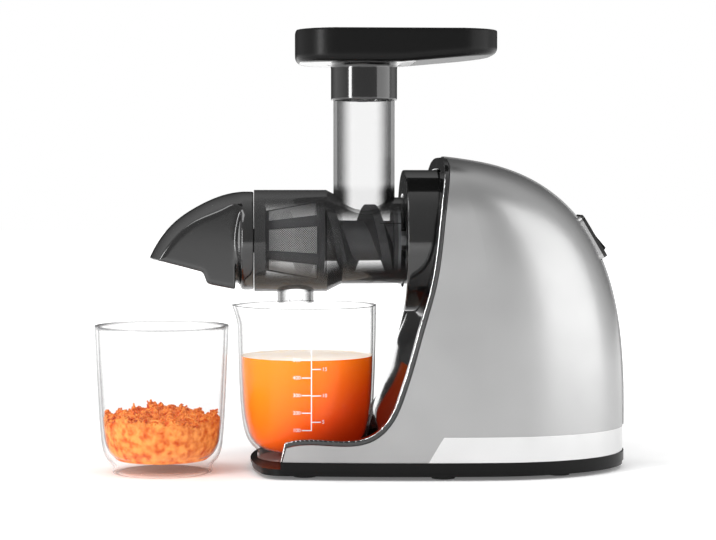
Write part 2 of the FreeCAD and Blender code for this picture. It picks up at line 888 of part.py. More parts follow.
pin_places = []
for planet in range(int(mm["planet_count"])):
    angle = 2 * math.pi * planet / mm["planet_count"]
    y = arm.value * math.cos(angle)
    z = drive_z + arm.value * math.sin(angle)
    pin_places.append((y, z))
    phase = angle + math.pi - math.pi / planet_teeth + angle * sun_teeth / planet_teeth
    blank = Part.Face(gear_wire(gear_points(planet_teeth, phase), gear_x, y, z))
    blank = blank.extrude(vec(gear_width, 0, 0))
    blank = blank.cut(rod(gear_x - 1, gear_x + gear_width + 1, mm["pin_radius"] + mm["running_gap"], y, z))
    plain_part("planet_gear_" + str(planet + 1), blank)

ring_x = gear_x - 0.4
ring_width = gear_width + 0.8
ring_gap = Part.Face(gear_wire(gear_points(ring_teeth, 0.0, True), ring_x - 1, 0, drive_z))
ring_gap = ring_gap.extrude(vec(ring_width + 2, 0, 0))
ring = rod(ring_x, ring_x + ring_width, ring_outer.value).cut(ring_gap)
plain_part("ring_gear", one_solid(ring))

pins = [rod(carrier_start.value, gear_end.value + 1.5, mm["pin_radius"], y, z) for y, z in pin_places]
plain_part("planet_pins", Part.makeCompound(pins))
carrier = tube(carrier_start.value, carrier_end.value, mm["output_radius"],
               arm.value + mm["pin_radius"] + mm["carrier_margin"])
plain_part("planet_carrier", carrier.cut(Part.makeCompound(pins)))

cover_end = gearbox_end + 4.0
motor_bearing_radius = size("motor_bearing_radius")
on_axis("gearbox_cover", ring_corners(gearbox_end, cover_end, motor_bearing_radius, gearbox_outer))

# Motor
motor_radius = size("motor_radius")
can_end = cover_end + size("motor_length")
can_wall = size("can_wall")
can_bore = motor_radius - can_wall
on_axis("motor_can", [
    (cover_end, motor_bearing_radius), (cover_end, motor_radius), (can_end, motor_radius),
    (can_end, can_bore), (cover_end + can_wall, can_bore), (cover_end + can_wall, motor_bearing_radius),
])
stack_start = cover_end.value + 6.0
stack_end = stack_start + mm["stack_length"]
magnet_inner = can_bore.value - mm["magnet_thickness"]
magnet_arc = mm["magnet_arc"]
magnets = []
for turn in (0, 180):
    face = Part.makePolygon([
        vec(stack_start, 0, drive_z + magnet_inner), vec(stack_end, 0, drive_z + magnet_inner),
        vec(stack_end, 0, drive_z + can_bore.value), vec(stack_start, 0, drive_z + can_bore.value),
        vec(stack_start, 0, drive_z + magnet_inner),
    ])
    magnet = Part.Face(face).revolve(vec(0, 0, drive_z), x_axis, magnet_arc)
    magnet.rotate(vec(0, 0, drive_z), x_axis, turn - magnet_arc / 2)
    magnets.append(magnet)
plain_part("motor_magnets", Part.makeCompound(magnets))

armature_radius = magnet_inner - mm["air_gap"]
shaft_radius = mm["motor_shaft_radius"]
armature = tube(stack_start, stack_end, shaft_radius, armature_radius)
slot_count = int(mm["armature_slots"])
for slot in range(slot_count):
    groove = block((stack_start - 1, stack_end + 1), (-1.4, 1.4),
                   (drive_z + armature_radius - 9, drive_z + 60))
    groove.rotate(vec(0, 0, drive_z), x_axis, 360.0 * slot / slot_count)
    armature = armature.cut(groove)
plain_part("armature", armature)
commutator_start = size("stack_length") + cover_end + 7.0
commutator_end = commutator_start + size("commutator_length")
on_axis("commutator", ring_corners(commutator_start, commutator_end, size("motor_shaft_radius"),
                                   size("commutator_radius")))

brush_x = commutator_start.value + 1.0
brush_end = brush_x + mm["brush_length"]
brush_half = mm["brush_half_width"]
brushes = []
for side in (-1, 1):
    near, away = sorted((side * (mm["commutator_radius"] + 0.1), side * mm["brush_reach"]))
    brushes.append(block((brush_x, brush_end), (near, away), (drive_z - brush_half, drive_z + brush_half)))
holder = tube(brush_x, brush_end, mm["commutator_radius"] + 2.0, can_bore.value)
plain_part("brush_holder", holder.cut(Part.makeCompound(brushes)))
plain_part("carbon_brushes", Part.makeCompound(brushes))

end_cap_end = can_end + 4.0
on_axis("motor_end_cap", ring_corners(can_end, end_cap_end, motor_bearing_radius, motor_radius))
motor_bearings = []
for start in (gearbox_end.value, can_end.value):
    motor_bearings.append(bearing_shape(start, 4.0, shaft_radius + mm["running_gap"],
                                        motor_bearing_radius.value))
plain_part("motor_bearings", Part.makeCompound(motor_bearings))
fan_start = end_cap_end + 2.0
fan_end = fan_start + size("fan_width")
on_axis("motor_shaft", [
    (gear_start, 0), (fan_end + 1.0, 0), (fan_end + 1.0, size("motor_shaft_radius")),
    (gear_start, size("motor_shaft_radius")),
])
fan = tube(fan_start.value, fan_end.value, shaft_radius, 8.0)
fan = fan.fuse(tube(fan_start.value, fan_start.value + 1.5, 7.0, mm["fan_radius"]))
for blade in range(int(mm["fan_blades"])):
    vane = block((fan_start.value + 1.0, fan_end.value), (-0.8, 0.8),
                 (drive_z + 7.0, drive_z + mm["fan_radius"] - 0.5))
    vane.rotate(vec(0, 0, drive_z), x_axis, 360.0 * blade / mm["fan_blades"])
    fan = fan.fuse(vane)
plain_part("cooling_fan", fan.removeSplitter())

# Cradle between the base tray and the motor, with its screws
floor_z = plate_top + mm["tray_floor"]
cradle_start = cover_end.value
cradle_end = can_end.value
cradle_half = mm["cradle_half_width"]
cradle_rib = mm["cradle_rib"]
cradle = block((cradle_start, cradle_end), (-cradle_half, cradle_half), (floor_z, floor_z + 3))
for start in (cradle_start + cradle_rib, cradle_end - 2 * cradle_rib):
    rib = block((start, start + cradle_rib), (-cradle_half, cradle_half),
                (floor_z, drive_z - motor_radius.value / 2))
    cradle = cradle.fuse(rib)
cradle = cradle.cut(rod(cradle_start - 1, cradle_end + 1, mm["motor_radius"]))
cradle_screws = []
for x in (cradle_start + 2.0 + 10.0, cradle_end - 12.0):
    for side in (-1, 1):
        y = side * mm["cradle_screw_spread"]
        shank = post(x, y, plate_top + 0.5, floor_z + 3, mm["screw_shank_radius"])
        cradle_screws.append(shank.fuse(post(x, y, floor_z + 3, floor_z + 5, mm["screw_head_radius"])))
screw_holes = Part.makeCompound(cradle_screws)
plain_part("motor_cradle", cradle.removeSplitter().cut(screw_holes))
plain_part("cradle_screws", screw_holes)

# Control board under the gearbox, on its spacers
board_start = mm["board_front_x"]
board_end = board_start + mm["board_length"]
board_half = mm["board_half_width"]
board_z = floor_z + mm["board_rise"]
board_top = board_z + mm["board_thickness"]
spacer_inset = mm["spacer_inset"]
spacers = []
for x in (board_start + spacer_inset, board_end - spacer_inset):
    for side in (-1, 1):
        spacers.append(post(x, side * (board_half - spacer_inset), floor_z, board_z, mm["spacer_radius"]))
plain_part("board_spacers", Part.makeCompound(spacers))
board = block((board_start, board_end), (-board_half, board_half), (board_z, board_top))
plain_part("control_board", board)
capacitor_radius = mm["capacitor_radius"]
capacitor_start = board_start + 2 * spacer_inset
capacitor_end = capacitor_start + mm["capacitor_length"]
capacitor_y = -board_half / 2
plain_part("run_capacitor", rod(capacitor_start, capacitor_end, capacitor_radius, capacitor_y,
                                board_top + capacitor_radius))
terminals = block((board_end - 16, board_end - 6), (0.0, board_half - spacer_inset),
                  (board_top, board_top + 11))
plain_part("terminal_block", terminals)

# Screws: four through the gearbox flange into the dock, six up through the bottom plate
flange_screws = []
flange_back = mm["dock_rear_x"] + 4.0
screw_circle = mm["dock_radius"] - 1.6
for corner in range(4):
    angle = math.radians(45 + 90 * corner)
    y = screw_circle * math.cos(angle)
    z = drive_z + screw_circle * math.sin(angle)
    shank = rod(mm["dock_rear_x"], flange_back, 0.9, y, z)
    flange_screws.append(shank.fuse(rod(flange_back, flange_back + 2.0, 1.6, y, z)))
plate_screws = []
screw_places = [
    (mm["screw_front_inset"] - mm["front_reach"], mm["screw_front_spread"]),
    (mm["screw_middle_x"], mm["screw_middle_spread"]),
    (mm["rear_reach"] - mm["screw_rear_inset"], mm["screw_rear_spread"]),
]
head_low = mm["foot_height"] + 0.2
head_high = head_low + 1.6
for x, spread in screw_places:
    for side in (-1, 1):
        head = post(x, side * spread, head_low, head_high, mm["screw_head_radius"])
        shank = post(x, side * spread, head_high, plate_top + 1.6, mm["screw_shank_radius"])
        plate_screws.append(head.fuse(shank))
flange_screw_set = plain_part("flange_screws", Part.makeCompound(flange_screws))
finish(boolean("Part::Cut", "gearbox_housing", housing_blank, flange_screw_set), "gearbox_housing")
plain_part("plate_screws", Part.makeCompound(plate_screws))

# Cord bushing under the rear of the base
bushing_x = mm["rear_reach"] - mm["bushing_inset"]
bushing = post(bushing_x, 0, 1.0, plate_top + 1.0, mm["bushing_radius"])
bushing = bushing.cut(post(bushing_x, 0, 0, plate_top + 2.0, mm["bushing_bore"]))
plain_part("cord_bushing", bushing)
bushing_hole = post(bushing_x, 0, 0, floor_z + 1.0, mm["bushing_radius"])
base_holes = Part.makeCompound(plate_screws + cradle_screws + [bushing_hole])
plain_part("base_tray", one_solid(tray.cut(base_holes)))
plain_part("bottom_plate", one_solid(plate.cut(base_holes)))

# Switch: bezel with its well, rocker on two stub pins, contact block behind
bezel_half = mm["bezel_half_width"]
rocker_half = mm["rocker_half_width"]
rocker_reach = mm["rocker_reach"]
rocker_pin = mm["rocker_pin_radius"]
well_half = rocker_reach + mm["rocker_gap"]
bezel = switch_box(mm["bezel_length"], -mm["bezel_depth"], 0.0, bezel_half)
corners = []
for edge in bezel.Edges:
    direction = edge.tangentAt(edge.FirstParameter)
    if abs(direction.dot(out)) > 0.99:
        corners.append(edge)
bezel = bezel.makeFillet(4.0, corners)
bezel = bezel.cut(switch_box(2 * well_half, -mm["bezel_depth"] - 1, 1.0, rocker_half + mm["rocker_gap"]))
pivot = switch_point(0.0, -mm["rocker_pivot"], 0)


def pivot_rod(radius, half_width):
    return Part.makeCylinder(radius, 2 * half_width, pivot - y_axis * half_width, y_axis)


stub_reach = rocker_half + 3.0
bezel = bezel.cut(pivot_rod(rocker_pin + mm["running_gap"], stub_reach + fit))
plain_part("switch_bezel", one_solid(bezel))
depth = -mm["rocker_pivot"]
tip_down = math.sqrt(rocker_reach ** 2 - (mm["rocker_high"] - depth) ** 2)
tip_up = math.sqrt(rocker_reach ** 2 - (mm["rocker_low"] - 0.5 - depth) ** 2)
rocker_outline = [
    (-tip_up, mm["rocker_low"] - 0.5), (0.0, 1.0), (tip_down, mm["rocker_high"]),
    (rocker_reach + 1, -2.0), (6.0, depth - 4.5), (-6.0, depth - 4.5), (-rocker_reach - 1, -2.0),
]
rocker = switch_prism(rocker_outline, rocker_half).common(pivot_rod(rocker_reach, rocker_half))
rocker = rocker.fuse(pivot_rod(rocker_pin, stub_reach))
plain_part("rocker_switch", one_solid(rocker.removeSplitter()))
bezel_back = -mm["bezel_depth"]
contact_back = bezel_back - mm["contact_depth"]
plain_part("switch_contacts", switch_box(2 * well_half + 3.0, contact_back, bezel_back, stub_reach))

# Juicing drum: drum, neck, feed chute and juice spout in one clear moulding
neck_bore = mm["neck_radius"] - mm["neck_wall"]
drum_bore = mm["drum_radius"] - mm["drum_wall"]
drum_start = mm["drum_front_x"]
shoulder = mm["shoulder_x"]
shoulder_end = shoulder + mm["shoulder_length"]
neck_end = mm["neck_end_x"]
chute_x = mm["chute_x"]
spout_x = mm["spout_x"]
chute_bore = mm["chute_radius"] - mm["chute_wall"]
spout_bore = mm["spout_radius"] - mm["spout_wall"]
drum_outer = revolve_x([
    (drum_start, 0), (neck_end, 0), (neck_end, mm["neck_radius"]), (shoulder_end, mm["neck_radius"]),
    (shoulder + 5.0, mm["drum_radius"] - 2.6), (shoulder, mm["drum_radius"]), (drum_start, mm["drum_radius"]),
])
drum_outer = drum_outer.fuse(post(chute_x, 0, drive_z, mm["chute_top"], mm["chute_radius"]))
drum_outer = drum_outer.fuse(post(spout_x, 0, mm["spout_bottom"], drive_z, mm["spout_radius"]))
drum_inner = revolve_x([
    (drum_start - 1, 0), (neck_end + 1, 0), (neck_end + 1, neck_bore), (shoulder_end - 1.0, neck_bore),
    (shoulder - 0.5, drum_bore - 1.5), (shoulder - 2.0, drum_bore), (drum_start - 1, drum_bore),
])
chute_hole = post(chute_x, 0, drive_z, mm["chute_top"] + 1, chute_bore)
spout_hole = post(spout_x, 0, mm["spout_bottom"] - 1, drive_z, spout_bore)
drum = drum_outer.cut(drum_inner).cut(chute_hole).cut(spout_hole)
for side in (-1, 1):
    middle = spout_x + side * mm["vane_spacing"] / 2
    half_vane = mm["vane_thickness"] / 2
    vane_low = mm["spout_bottom"] + 2.0
    vane = block((middle - half_vane, middle + half_vane), (-20, 20), (vane_low, drive_z - drum_bore - 0.3))
    drum = drum.fuse(vane.common(post(spout_x, 0, vane_low, drive_z, mm["spout_radius"] - 0.5)))
lug_low = drive_z + mm["neck_radius"] - 1
lug_high = drive_z + mm["neck_radius"] + mm["lug_rise"]
lug_front = mm["lug_front_x"]
lug_rear = lug_front + mm["lug_length"]
lug_face = Part.makePolygon([
    vec(lug_front, 0, lug_low), vec(lug_rear, 0, lug_low), vec(lug_rear, 0, lug_high),
    vec(lug_front, 0, lug_high), vec(lug_front, 0, lug_low),
])
lug = Part.Face(lug_face).revolve(vec(0, 0, drive_z), x_axis, mm["lug_angle"])
lug.rotate(vec(0, 0, drive_z), x_axis, 40.0)
drum = drum.fuse(lug)
plain_part("juicing_drum", one_solid(drum.removeSplitter()))
on_axis("drum_seal", ring_corners(size("neck_end_x") + 0.1, size("neck_end_x") + size("seal_thickness"),
                                  size("neck_radius") - size("neck_wall"), size("neck_radius") + 0.8))

# Strainer: moulded frame with six windows, and the fine mesh in them
strainer_rear_x = shoulder - 5.8
strainer_front_x = drum_start + 0.8 + mm["strainer_cuff"]
rear_r = mm["strainer_rear_radius"]
front_r = mm["strainer_front_radius"]
strainer_wall = mm["strainer_wall"]
flange_r = drum_bore - fit
strainer = revolve_x([
    (strainer_front_x, front_r - strainer_wall), (strainer_rear_x, rear_r - strainer_wall),
    (strainer_rear_x + mm["strainer_flange"], rear_r - strainer_wall),
    (strainer_rear_x + mm["strainer_flange"] - 0.6, flange_r), (strainer_rear_x, flange_r),
    (strainer_rear_x, rear_r), (strainer_front_x, front_r),
    (strainer_front_x, front_r + 3.0), (drum_start + 3.4, front_r + 3.0), (drum_start + 3.4, flange_r),
    (drum_start + 0.8, flange_r), (drum_start + 0.8, front_r - strainer_wall),
])
window_step = 360.0 / mm["strainer_windows"]
window_face = Part.makePolygon([
    vec(strainer_front_x + 2.0, 0, drive_z + front_r - 5),
    vec(strainer_rear_x - 2.0, 0, drive_z + front_r - 5),
    vec(strainer_rear_x - 2.0, 0, drive_z + 60), vec(strainer_front_x + 2.0, 0, drive_z + 60),
    vec(strainer_front_x + 2.0, 0, drive_z + front_r - 5),
])
windows = []
for index in range(int(mm["strainer_windows"])):
    window = Part.Face(window_face).revolve(vec(0, 0, drive_z), x_axis, mm["window_angle"])
    window.rotate(vec(0, 0, drive_z), x_axis, 87.0 - mm["window_angle"] / 2 + index * window_step)
    windows.append(window)
window_set = Part.makeCompound(windows)
plain_part("strainer_frame", one_solid(strainer.cut(window_set)))
middle = strainer_wall / 2
half_mesh = mm["mesh_thickness"] / 2
mesh_cone = revolve_x([
    (strainer_front_x, front_r - middle - half_mesh), (strainer_rear_x, rear_r - middle - half_mesh),
    (strainer_rear_x, rear_r - middle + half_mesh), (strainer_front_x, front_r - middle + half_mesh),
])
plain_part("strainer_mesh", mesh_cone.common(window_set))

# Auger: core with a helical flight trimmed to the neck and to the strainer's cone
flight_gap = mm["flight_gap"]
auger_end = mm["auger_end_x"]
auger_front = mm["auger_front_x"]
flight_length = auger_end - 3.0 - auger_front
helix = Part.makeHelix(mm["flight_pitch"], flight_length, mm["core_radius"])
root_half = mm["flight_root"] / 2
tip_half = mm["flight_tip"] / 2
core_r = mm["core_radius"]
flight_r = mm["flight_radius"]
profile = Part.makePolygon([
    vec(core_r - 2.0, 0, -root_half), vec(flight_r + 0.5, 0, -tip_half),
    vec(flight_r + 0.5, 0, tip_half), vec(core_r - 2.0, 0, root_half), vec(core_r - 2.0, 0, -root_half),
])
flight = Part.Wire(helix).makePipeShell([profile], True, True)
flight.rotate(vec(0, 0, 0), y_axis, 90)
flight.translate(vec(auger_front, 0, drive_z))
envelope = revolve_x([
    (auger_front + 1, 0), (auger_end - 2.0, 0), (auger_end - 2.0, flight_r),
    (strainer_rear_x + 1.0, flight_r), (strainer_rear_x, rear_r - strainer_wall - flight_gap),
    (strainer_front_x, front_r - strainer_wall - flight_gap),
    (auger_front + 1, front_r - strainer_wall - flight_gap),
])
core = revolve_x([
    (auger_front - 20.0, 0), (auger_end, 0), (auger_end, flight_r), (auger_end - 3.0, flight_r),
    (auger_end - 3.0, core_r), (strainer_front_x - 4.0, core_r + 1.0), (auger_front - 6.0, mm["nose_radius"]),
    (auger_front - 8.0, 4.0), (auger_front - 20.0, 4.0),
])
auger = core.fuse(flight.common(envelope))
plain_part("auger", one_solid(auger))
shank_start = size("auger_end_x")
shank_end = hub_start + size("shank_length") - 3.0
shank = primitive("Part::Prism", "auger_shank", shank_start, Polygon=6, Circumradius=hex_corner,
                  Height=shank_end - shank_start)
finish(shank, "auger_shank")
on_axis("auger_seal", ring_corners(shank_start, shank_start + 2.0, size("hex_flats") * 0.58,
                                   size("flight_radius") + 0.5))

# End cap: collar over the drum mouth and the drooping pulp snout, open below
cap_half = mm["cap_half_width"]
cap_wall = mm["cap_wall"]
cap_back_x = drum_start - mm["cap_collar_length"]
tip_x = -mm["cap_reach"]
cap_overlap = mm["cap_overlap"]
roof_centre = [
    (cap_back_x + cap_overlap, 36.7), (cap_back_x, 36.2), (cap_back_x - 11.5, 33.4),
    (cap_back_x - 28.5, 25.7), (cap_back_x - 45.4, 14.0), (cap_back_x - 57.3, -0.2), (tip_x, -13.2),
]
roof_side = [
    (cap_back_x + cap_overlap, 24.6), (cap_back_x, 27.6), (cap_back_x - 8.0, 24.4),
    (cap_back_x - 29.3, 15.2), (cap_back_x - 41.6, 5.7), (cap_back_x - 50.0, -4.1),
    (tip_x + 8.0, -13.9),
]
mouth_rear = (cap_back_x - 24.1, -22.5)
chin_step = (cap_back_x - 21.0, -31.0)
chin_back = (cap_back_x, -35.1)


def drooped(points, shrink):
    """Roof points pulled inwards by the wall, square to the roof line."""
    moved = []
    for index, (x, z) in enumerate(points):
        before = points[max(index - 1, 0)]
        after = points[min(index + 1, len(points) - 1)]
        dx, dz = after[0] - before[0], after[1] - before[1]
        length = math.hypot(dx, dz)
        moved.append((x - dz / length * shrink, z + dx / length * shrink))
    return moved


def snout_wire(y, roof, lower):
    top = curve([(x, y, drive_z + z) for x, z in roof]).toShape()
    chain = [roof[-1]] + lower + [roof[0]]
    edges = [top]
    for start, end in zip(chain, chain[1:]):
        edges.append(Part.makeLine(vec(start[0], y, drive_z + start[1]), vec(end[0], y, drive_z + end[1])))
    return Part.Wire(edges)


outer_lower = [mouth_rear, chin_step, chin_back, (cap_back_x, 0.0), (cap_back_x + cap_overlap, 0.0)]
snout = Part.makeLoft([
    snout_wire(-cap_half, roof_side, outer_lower), snout_wire(0.0, roof_centre, outer_lower),
    snout_wire(cap_half, roof_side, outer_lower),
], True, False)
inner_back = cap_back_x - cap_wall
inner_side = [(x, z) for x, z in drooped(roof_side, cap_wall) if x < inner_back]
inner_centre = [(x, z) for x, z in drooped(roof_centre, cap_wall) if x < inner_back]
inner_side[0] = (inner_back, inner_side[0][1] + 3.0)
inner_centre[0] = (inner_back, inner_centre[0][1] + 1.0)
inner_lower = [
    (inner_side[-1][0], -60.0), (mouth_rear[0] + 1.0, -60.0),
    (chin_step[0] + cap_wall, chin_step[1] + cap_wall), (inner_back, chin_back[1] + cap_wall),
]
inner_half = cap_half - cap_wall
cavity = Part.makeLoft([
    snout_wire(-inner_half, inner_side, inner_lower), snout_wire(0.0, inner_centre, inner_lower),
    snout_wire(inner_half, inner_side, inner_lower),
], True, False)
cap_mouth = drum_start - mm["seam_gap"]
collar_r = mm["cap_collar_radius"]
collar = revolve_x([
    (cap_back_x, 0), (cap_mouth, 0), (cap_mouth, collar_r), (cap_back_x + 4.5, collar_r),
    (cap_back_x, cap_half),
])
bore_back = cap_back_x + cap_wall
cap_bore = mm["cap_bore"]
collar_bore = revolve_x([
    (bore_back, cap_bore), (bore_back, collar_r - 5.5), (cap_back_x + 6.0, collar_r - cap_wall),
    (cap_mouth + 1, collar_r - cap_wall), (cap_mouth + 1, cap_bore),
])
nose_hub = tube(cap_back_x, cap_back_x + 6.0, cap_bore, mm["cap_hub_radius"])
cap = snout.fuse(collar).cut(cavity).cut(collar_bore).cut(rod(cap_back_x - 5, cap_mouth + 1, cap_bore))
port_low = drive_z + mm["cap_hub_radius"] + 1.0
port_high = drive_z + mm["strainer_front_radius"]
port_face = Part.makePolygon([
    vec(inner_back - 1, 0, port_low), vec(bore_back + 1, 0, port_low), vec(bore_back + 1, 0, port_high),
    vec(inner_back - 1, 0, port_high), vec(inner_back - 1, 0, port_low),
])
port_step = 360.0 / mm["cap_ports"]
for index in range(int(mm["cap_ports"])):
    port = Part.Face(port_face).revolve(vec(0, 0, drive_z), x_axis, mm["port_angle"])
    port.rotate(vec(0, 0, drive_z), x_axis, port_step * index + (port_step - mm["port_angle"]) / 2)
    cap = cap.cut(port)
cap = cap.fuse(nose_hub)
plain_part("end_cap", one_solid(cap.removeSplitter()))

# Feed tray with the collar that slips over the chute
def tray_slab(shrink, low, high):
    front = mm["tray_front_x"] + shrink
    rear = mm["tray_rear_x"] - shrink
    half = mm["tray_half_width"] - shrink
    slab = block((front, rear), (-half, half), (low, high))
    upright = [edge for edge in slab.Edges if abs(edge.tangentAt(edge.FirstParameter).z) > 0.99]
    return slab.makeFillet(mm["tray_corner"] - shrink, upright)


def tray_wedge(drop, low):
    """Space under the sloping underside, behind the collar."""
    start = chute_x + mm["collar_radius"]
    rear = mm["tray_rear_x"]
    outline = [(start, low), (rear + 5, low), (rear + 5, drop + mm["tray_rise"]), (start, drop)]
    return side_prism(outline, wide)


tray_low = mm["tray_bottom"]
tray_wall = mm["tray_wall"]
tray_outer = tray_slab(0.0, tray_low, mm["tray_top"]).cut(tray_wedge(tray_low, tray_low - 5))
lower_edges = []
for edge in tray_outer.Edges:
    box = edge.BoundBox
    if box.ZMax < tray_low + mm["tray_rise"] + 1 and box.ZMax - box.ZMin < mm["tray_rise"] + 0.5:
        across = box.XMax - box.XMin < 0.01 and box.XMin < chute_x + 40
        if not across:
            lower_edges.append(edge)
tray_bowl = tray_slab(tray_wall, tray_low + tray_wall, mm["tray_top"] + 1)
tray_bowl = tray_bowl.cut(tray_wedge(tray_low + tray_wall, tray_low))
feed_tray = tray_outer.makeFillet(6.0, lower_edges).cut(tray_bowl)
collar_bore_r = mm["chute_radius"] + fit
feed_collar = post(chute_x, 0, mm["collar_bottom"], tray_low + 1, mm["collar_radius"])
feed_tray = feed_tray.fuse(feed_collar)
feed_tray = feed_tray.cut(post(chute_x, 0, mm["collar_bottom"] - 1, mm["chute_top"] + fit, collar_bore_r))
feed_tray = feed_tray.cut(post(chute_x, 0, mm["chute_top"], mm["tray_top"] + 1, chute_bore))
plain_part("feed_tray", one_solid(feed_tray))


# Juice jug with its pouring lip, standing on the deck
def turned_z(points, x):
    corners = [vec(x + radius, 0, z) for radius, z in points]
    wire = Part.makePolygon(corners + [corners[0]])
    return Part.Face(wire).revolve(vec(x, 0, 0), z_axis, 360)


jug_x = mm["jug_x"]
jug_z = deck + 0.1
jug_top = mm["jug_height"]
jug_r = mm["jug_radius"]
jug_wall = mm["jug_wall"]
jug_side = [
    (mm["jug_foot_radius"], jug_z), (jug_r - 13.5, jug_z + 5.0), (jug_r - 9.0, jug_z + 10.0),
    (jug_r - 4.4, jug_z + 19.5), (jug_r - 1.8, jug_z + 42.0), (jug_r, jug_top),
]
jug_outer = turned_z([(0, jug_z)] + jug_side + [(0, jug_top)], jug_x)
jug_inner_side = [
    (mm["jug_foot_radius"] - 3.0, jug_z + 3.0), (jug_r - 15.5, jug_z + 6.5), (jug_r - 11.0, jug_z + 11.5),
    (jug_r - 6.4, jug_z + 20.5), (jug_r - 1.8 - jug_wall, jug_z + 42.0), (jug_r - jug_wall, jug_top + 1),
]
jug_inner = turned_z([(0, jug_z + 3.0)] + jug_inner_side + [(0, jug_top + 1)], jug_x)
lip_centre = jug_x - jug_r + 10.3
lip_radius = 10.3 + mm["jug_lip"]
lip_depth = 17.0
lip_base = vec(lip_centre, 0, jug_top - lip_depth)
lip_outer = Part.makeCone(lip_radius - 4.5, lip_radius, lip_depth, lip_base)
lip_inner = Part.makeCone(lip_radius - 4.5 - jug_wall, lip_radius - jug_wall, lip_depth + 1, lip_base)
lip_inner.translate(vec(0, 0, 0.6))
jug = jug_outer.fuse(lip_outer).cut(jug_inner).cut(lip_inner)
jug_solids = sorted(jug.Solids, key=lambda solid: solid.Volume)
plain_part("juice_jug", jug_solids[-1])

# Pulp cup standing on the table under the snout
cup_r = size("cup_radius")
cup_wall = size("cup_wall")
cup_top = size("cup_height")
cup_foot = size("cup_foot_radius")
turned_part("pulp_cup", [
    (0, 0), (cup_foot, 0), (cup_foot + 0.6, 3.0), (cup_r - 8.8, 9.0), (cup_r - 5.1, 24.0),
    (cup_r - 2.9, 51.0), (cup_r - 1.4, 78.0), (cup_r, cup_top), (cup_r - cup_wall, cup_top),
    (cup_r - 1.4 - cup_wall, 78.0),
    (cup_r - 2.9 - cup_wall, 51.0), (cup_r - 5.1 - cup_wall, 25.0), (cup_r - 9.5 - cup_wall, 12.0),
    (cup_foot - 2.0, 8.0), (0, 8.0),
], upright=True, x=size("cup_x"), y=size("cup_y"))

doc.recompute()

for item in doc.Objects:
    for state in item.State:
        if state in ("Invalid", "Error"):
            raise RuntimeError(item.Label + " failed to build")
for node in finished_parts:
    if node.Shape.isNull() or not node.Shape.isValid():
        raise RuntimeError(node.Label + " has no valid shape")

os.makedirs("parts", exist_ok=True)
for node in finished_parts:
    node.Shape.exportStep(os.path.join("parts", node.Label + ".step"))
print(len(finished_parts), "pieces written")
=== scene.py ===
import bmesh
import bpy
import json
import math
from mathutils import Matrix, Vector, noise


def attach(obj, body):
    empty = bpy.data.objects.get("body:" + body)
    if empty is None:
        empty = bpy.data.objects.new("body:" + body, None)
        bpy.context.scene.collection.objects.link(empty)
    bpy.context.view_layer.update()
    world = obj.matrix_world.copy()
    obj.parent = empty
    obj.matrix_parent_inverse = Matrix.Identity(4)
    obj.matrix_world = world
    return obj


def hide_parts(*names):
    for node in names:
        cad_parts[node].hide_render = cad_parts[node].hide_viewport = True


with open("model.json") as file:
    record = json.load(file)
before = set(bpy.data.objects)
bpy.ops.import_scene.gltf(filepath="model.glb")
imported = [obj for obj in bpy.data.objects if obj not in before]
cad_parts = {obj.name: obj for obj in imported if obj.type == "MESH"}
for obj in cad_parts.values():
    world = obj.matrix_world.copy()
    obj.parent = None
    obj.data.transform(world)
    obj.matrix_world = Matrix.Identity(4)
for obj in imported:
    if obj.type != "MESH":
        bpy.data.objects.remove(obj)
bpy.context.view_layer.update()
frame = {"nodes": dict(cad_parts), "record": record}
nodes = frame["nodes"]
mm = 0.001
print("frame loaded:", len(nodes), "nodes")

# Camera at the photograph's viewing angle
cameraSettings = {"place": (-88.85, -1497.5, 216.0), "target": (-2.5, 0.0, 148.5), "lens": 100.56}


def makeCamera():
    data = bpy.data.cameras.new("studioCamera")
    data.lens = cameraSettings["lens"]
    data.sensor_width = 36.0
    data.clip_start = 0.05
    data.clip_end = 50.0
    camera = bpy.data.objects.new("studioCamera", data)
    bpy.context.scene.collection.objects.link(camera)
    place = Vector(cameraSettings["place"]) * mm
    target = Vector(cameraSettings["target"]) * mm
    camera.location = place
    camera.rotation_euler = (target - place).to_track_quat("-Z", "Y").to_euler()
    bpy.context.scene.camera = camera


makeCamera()
print("camera set")


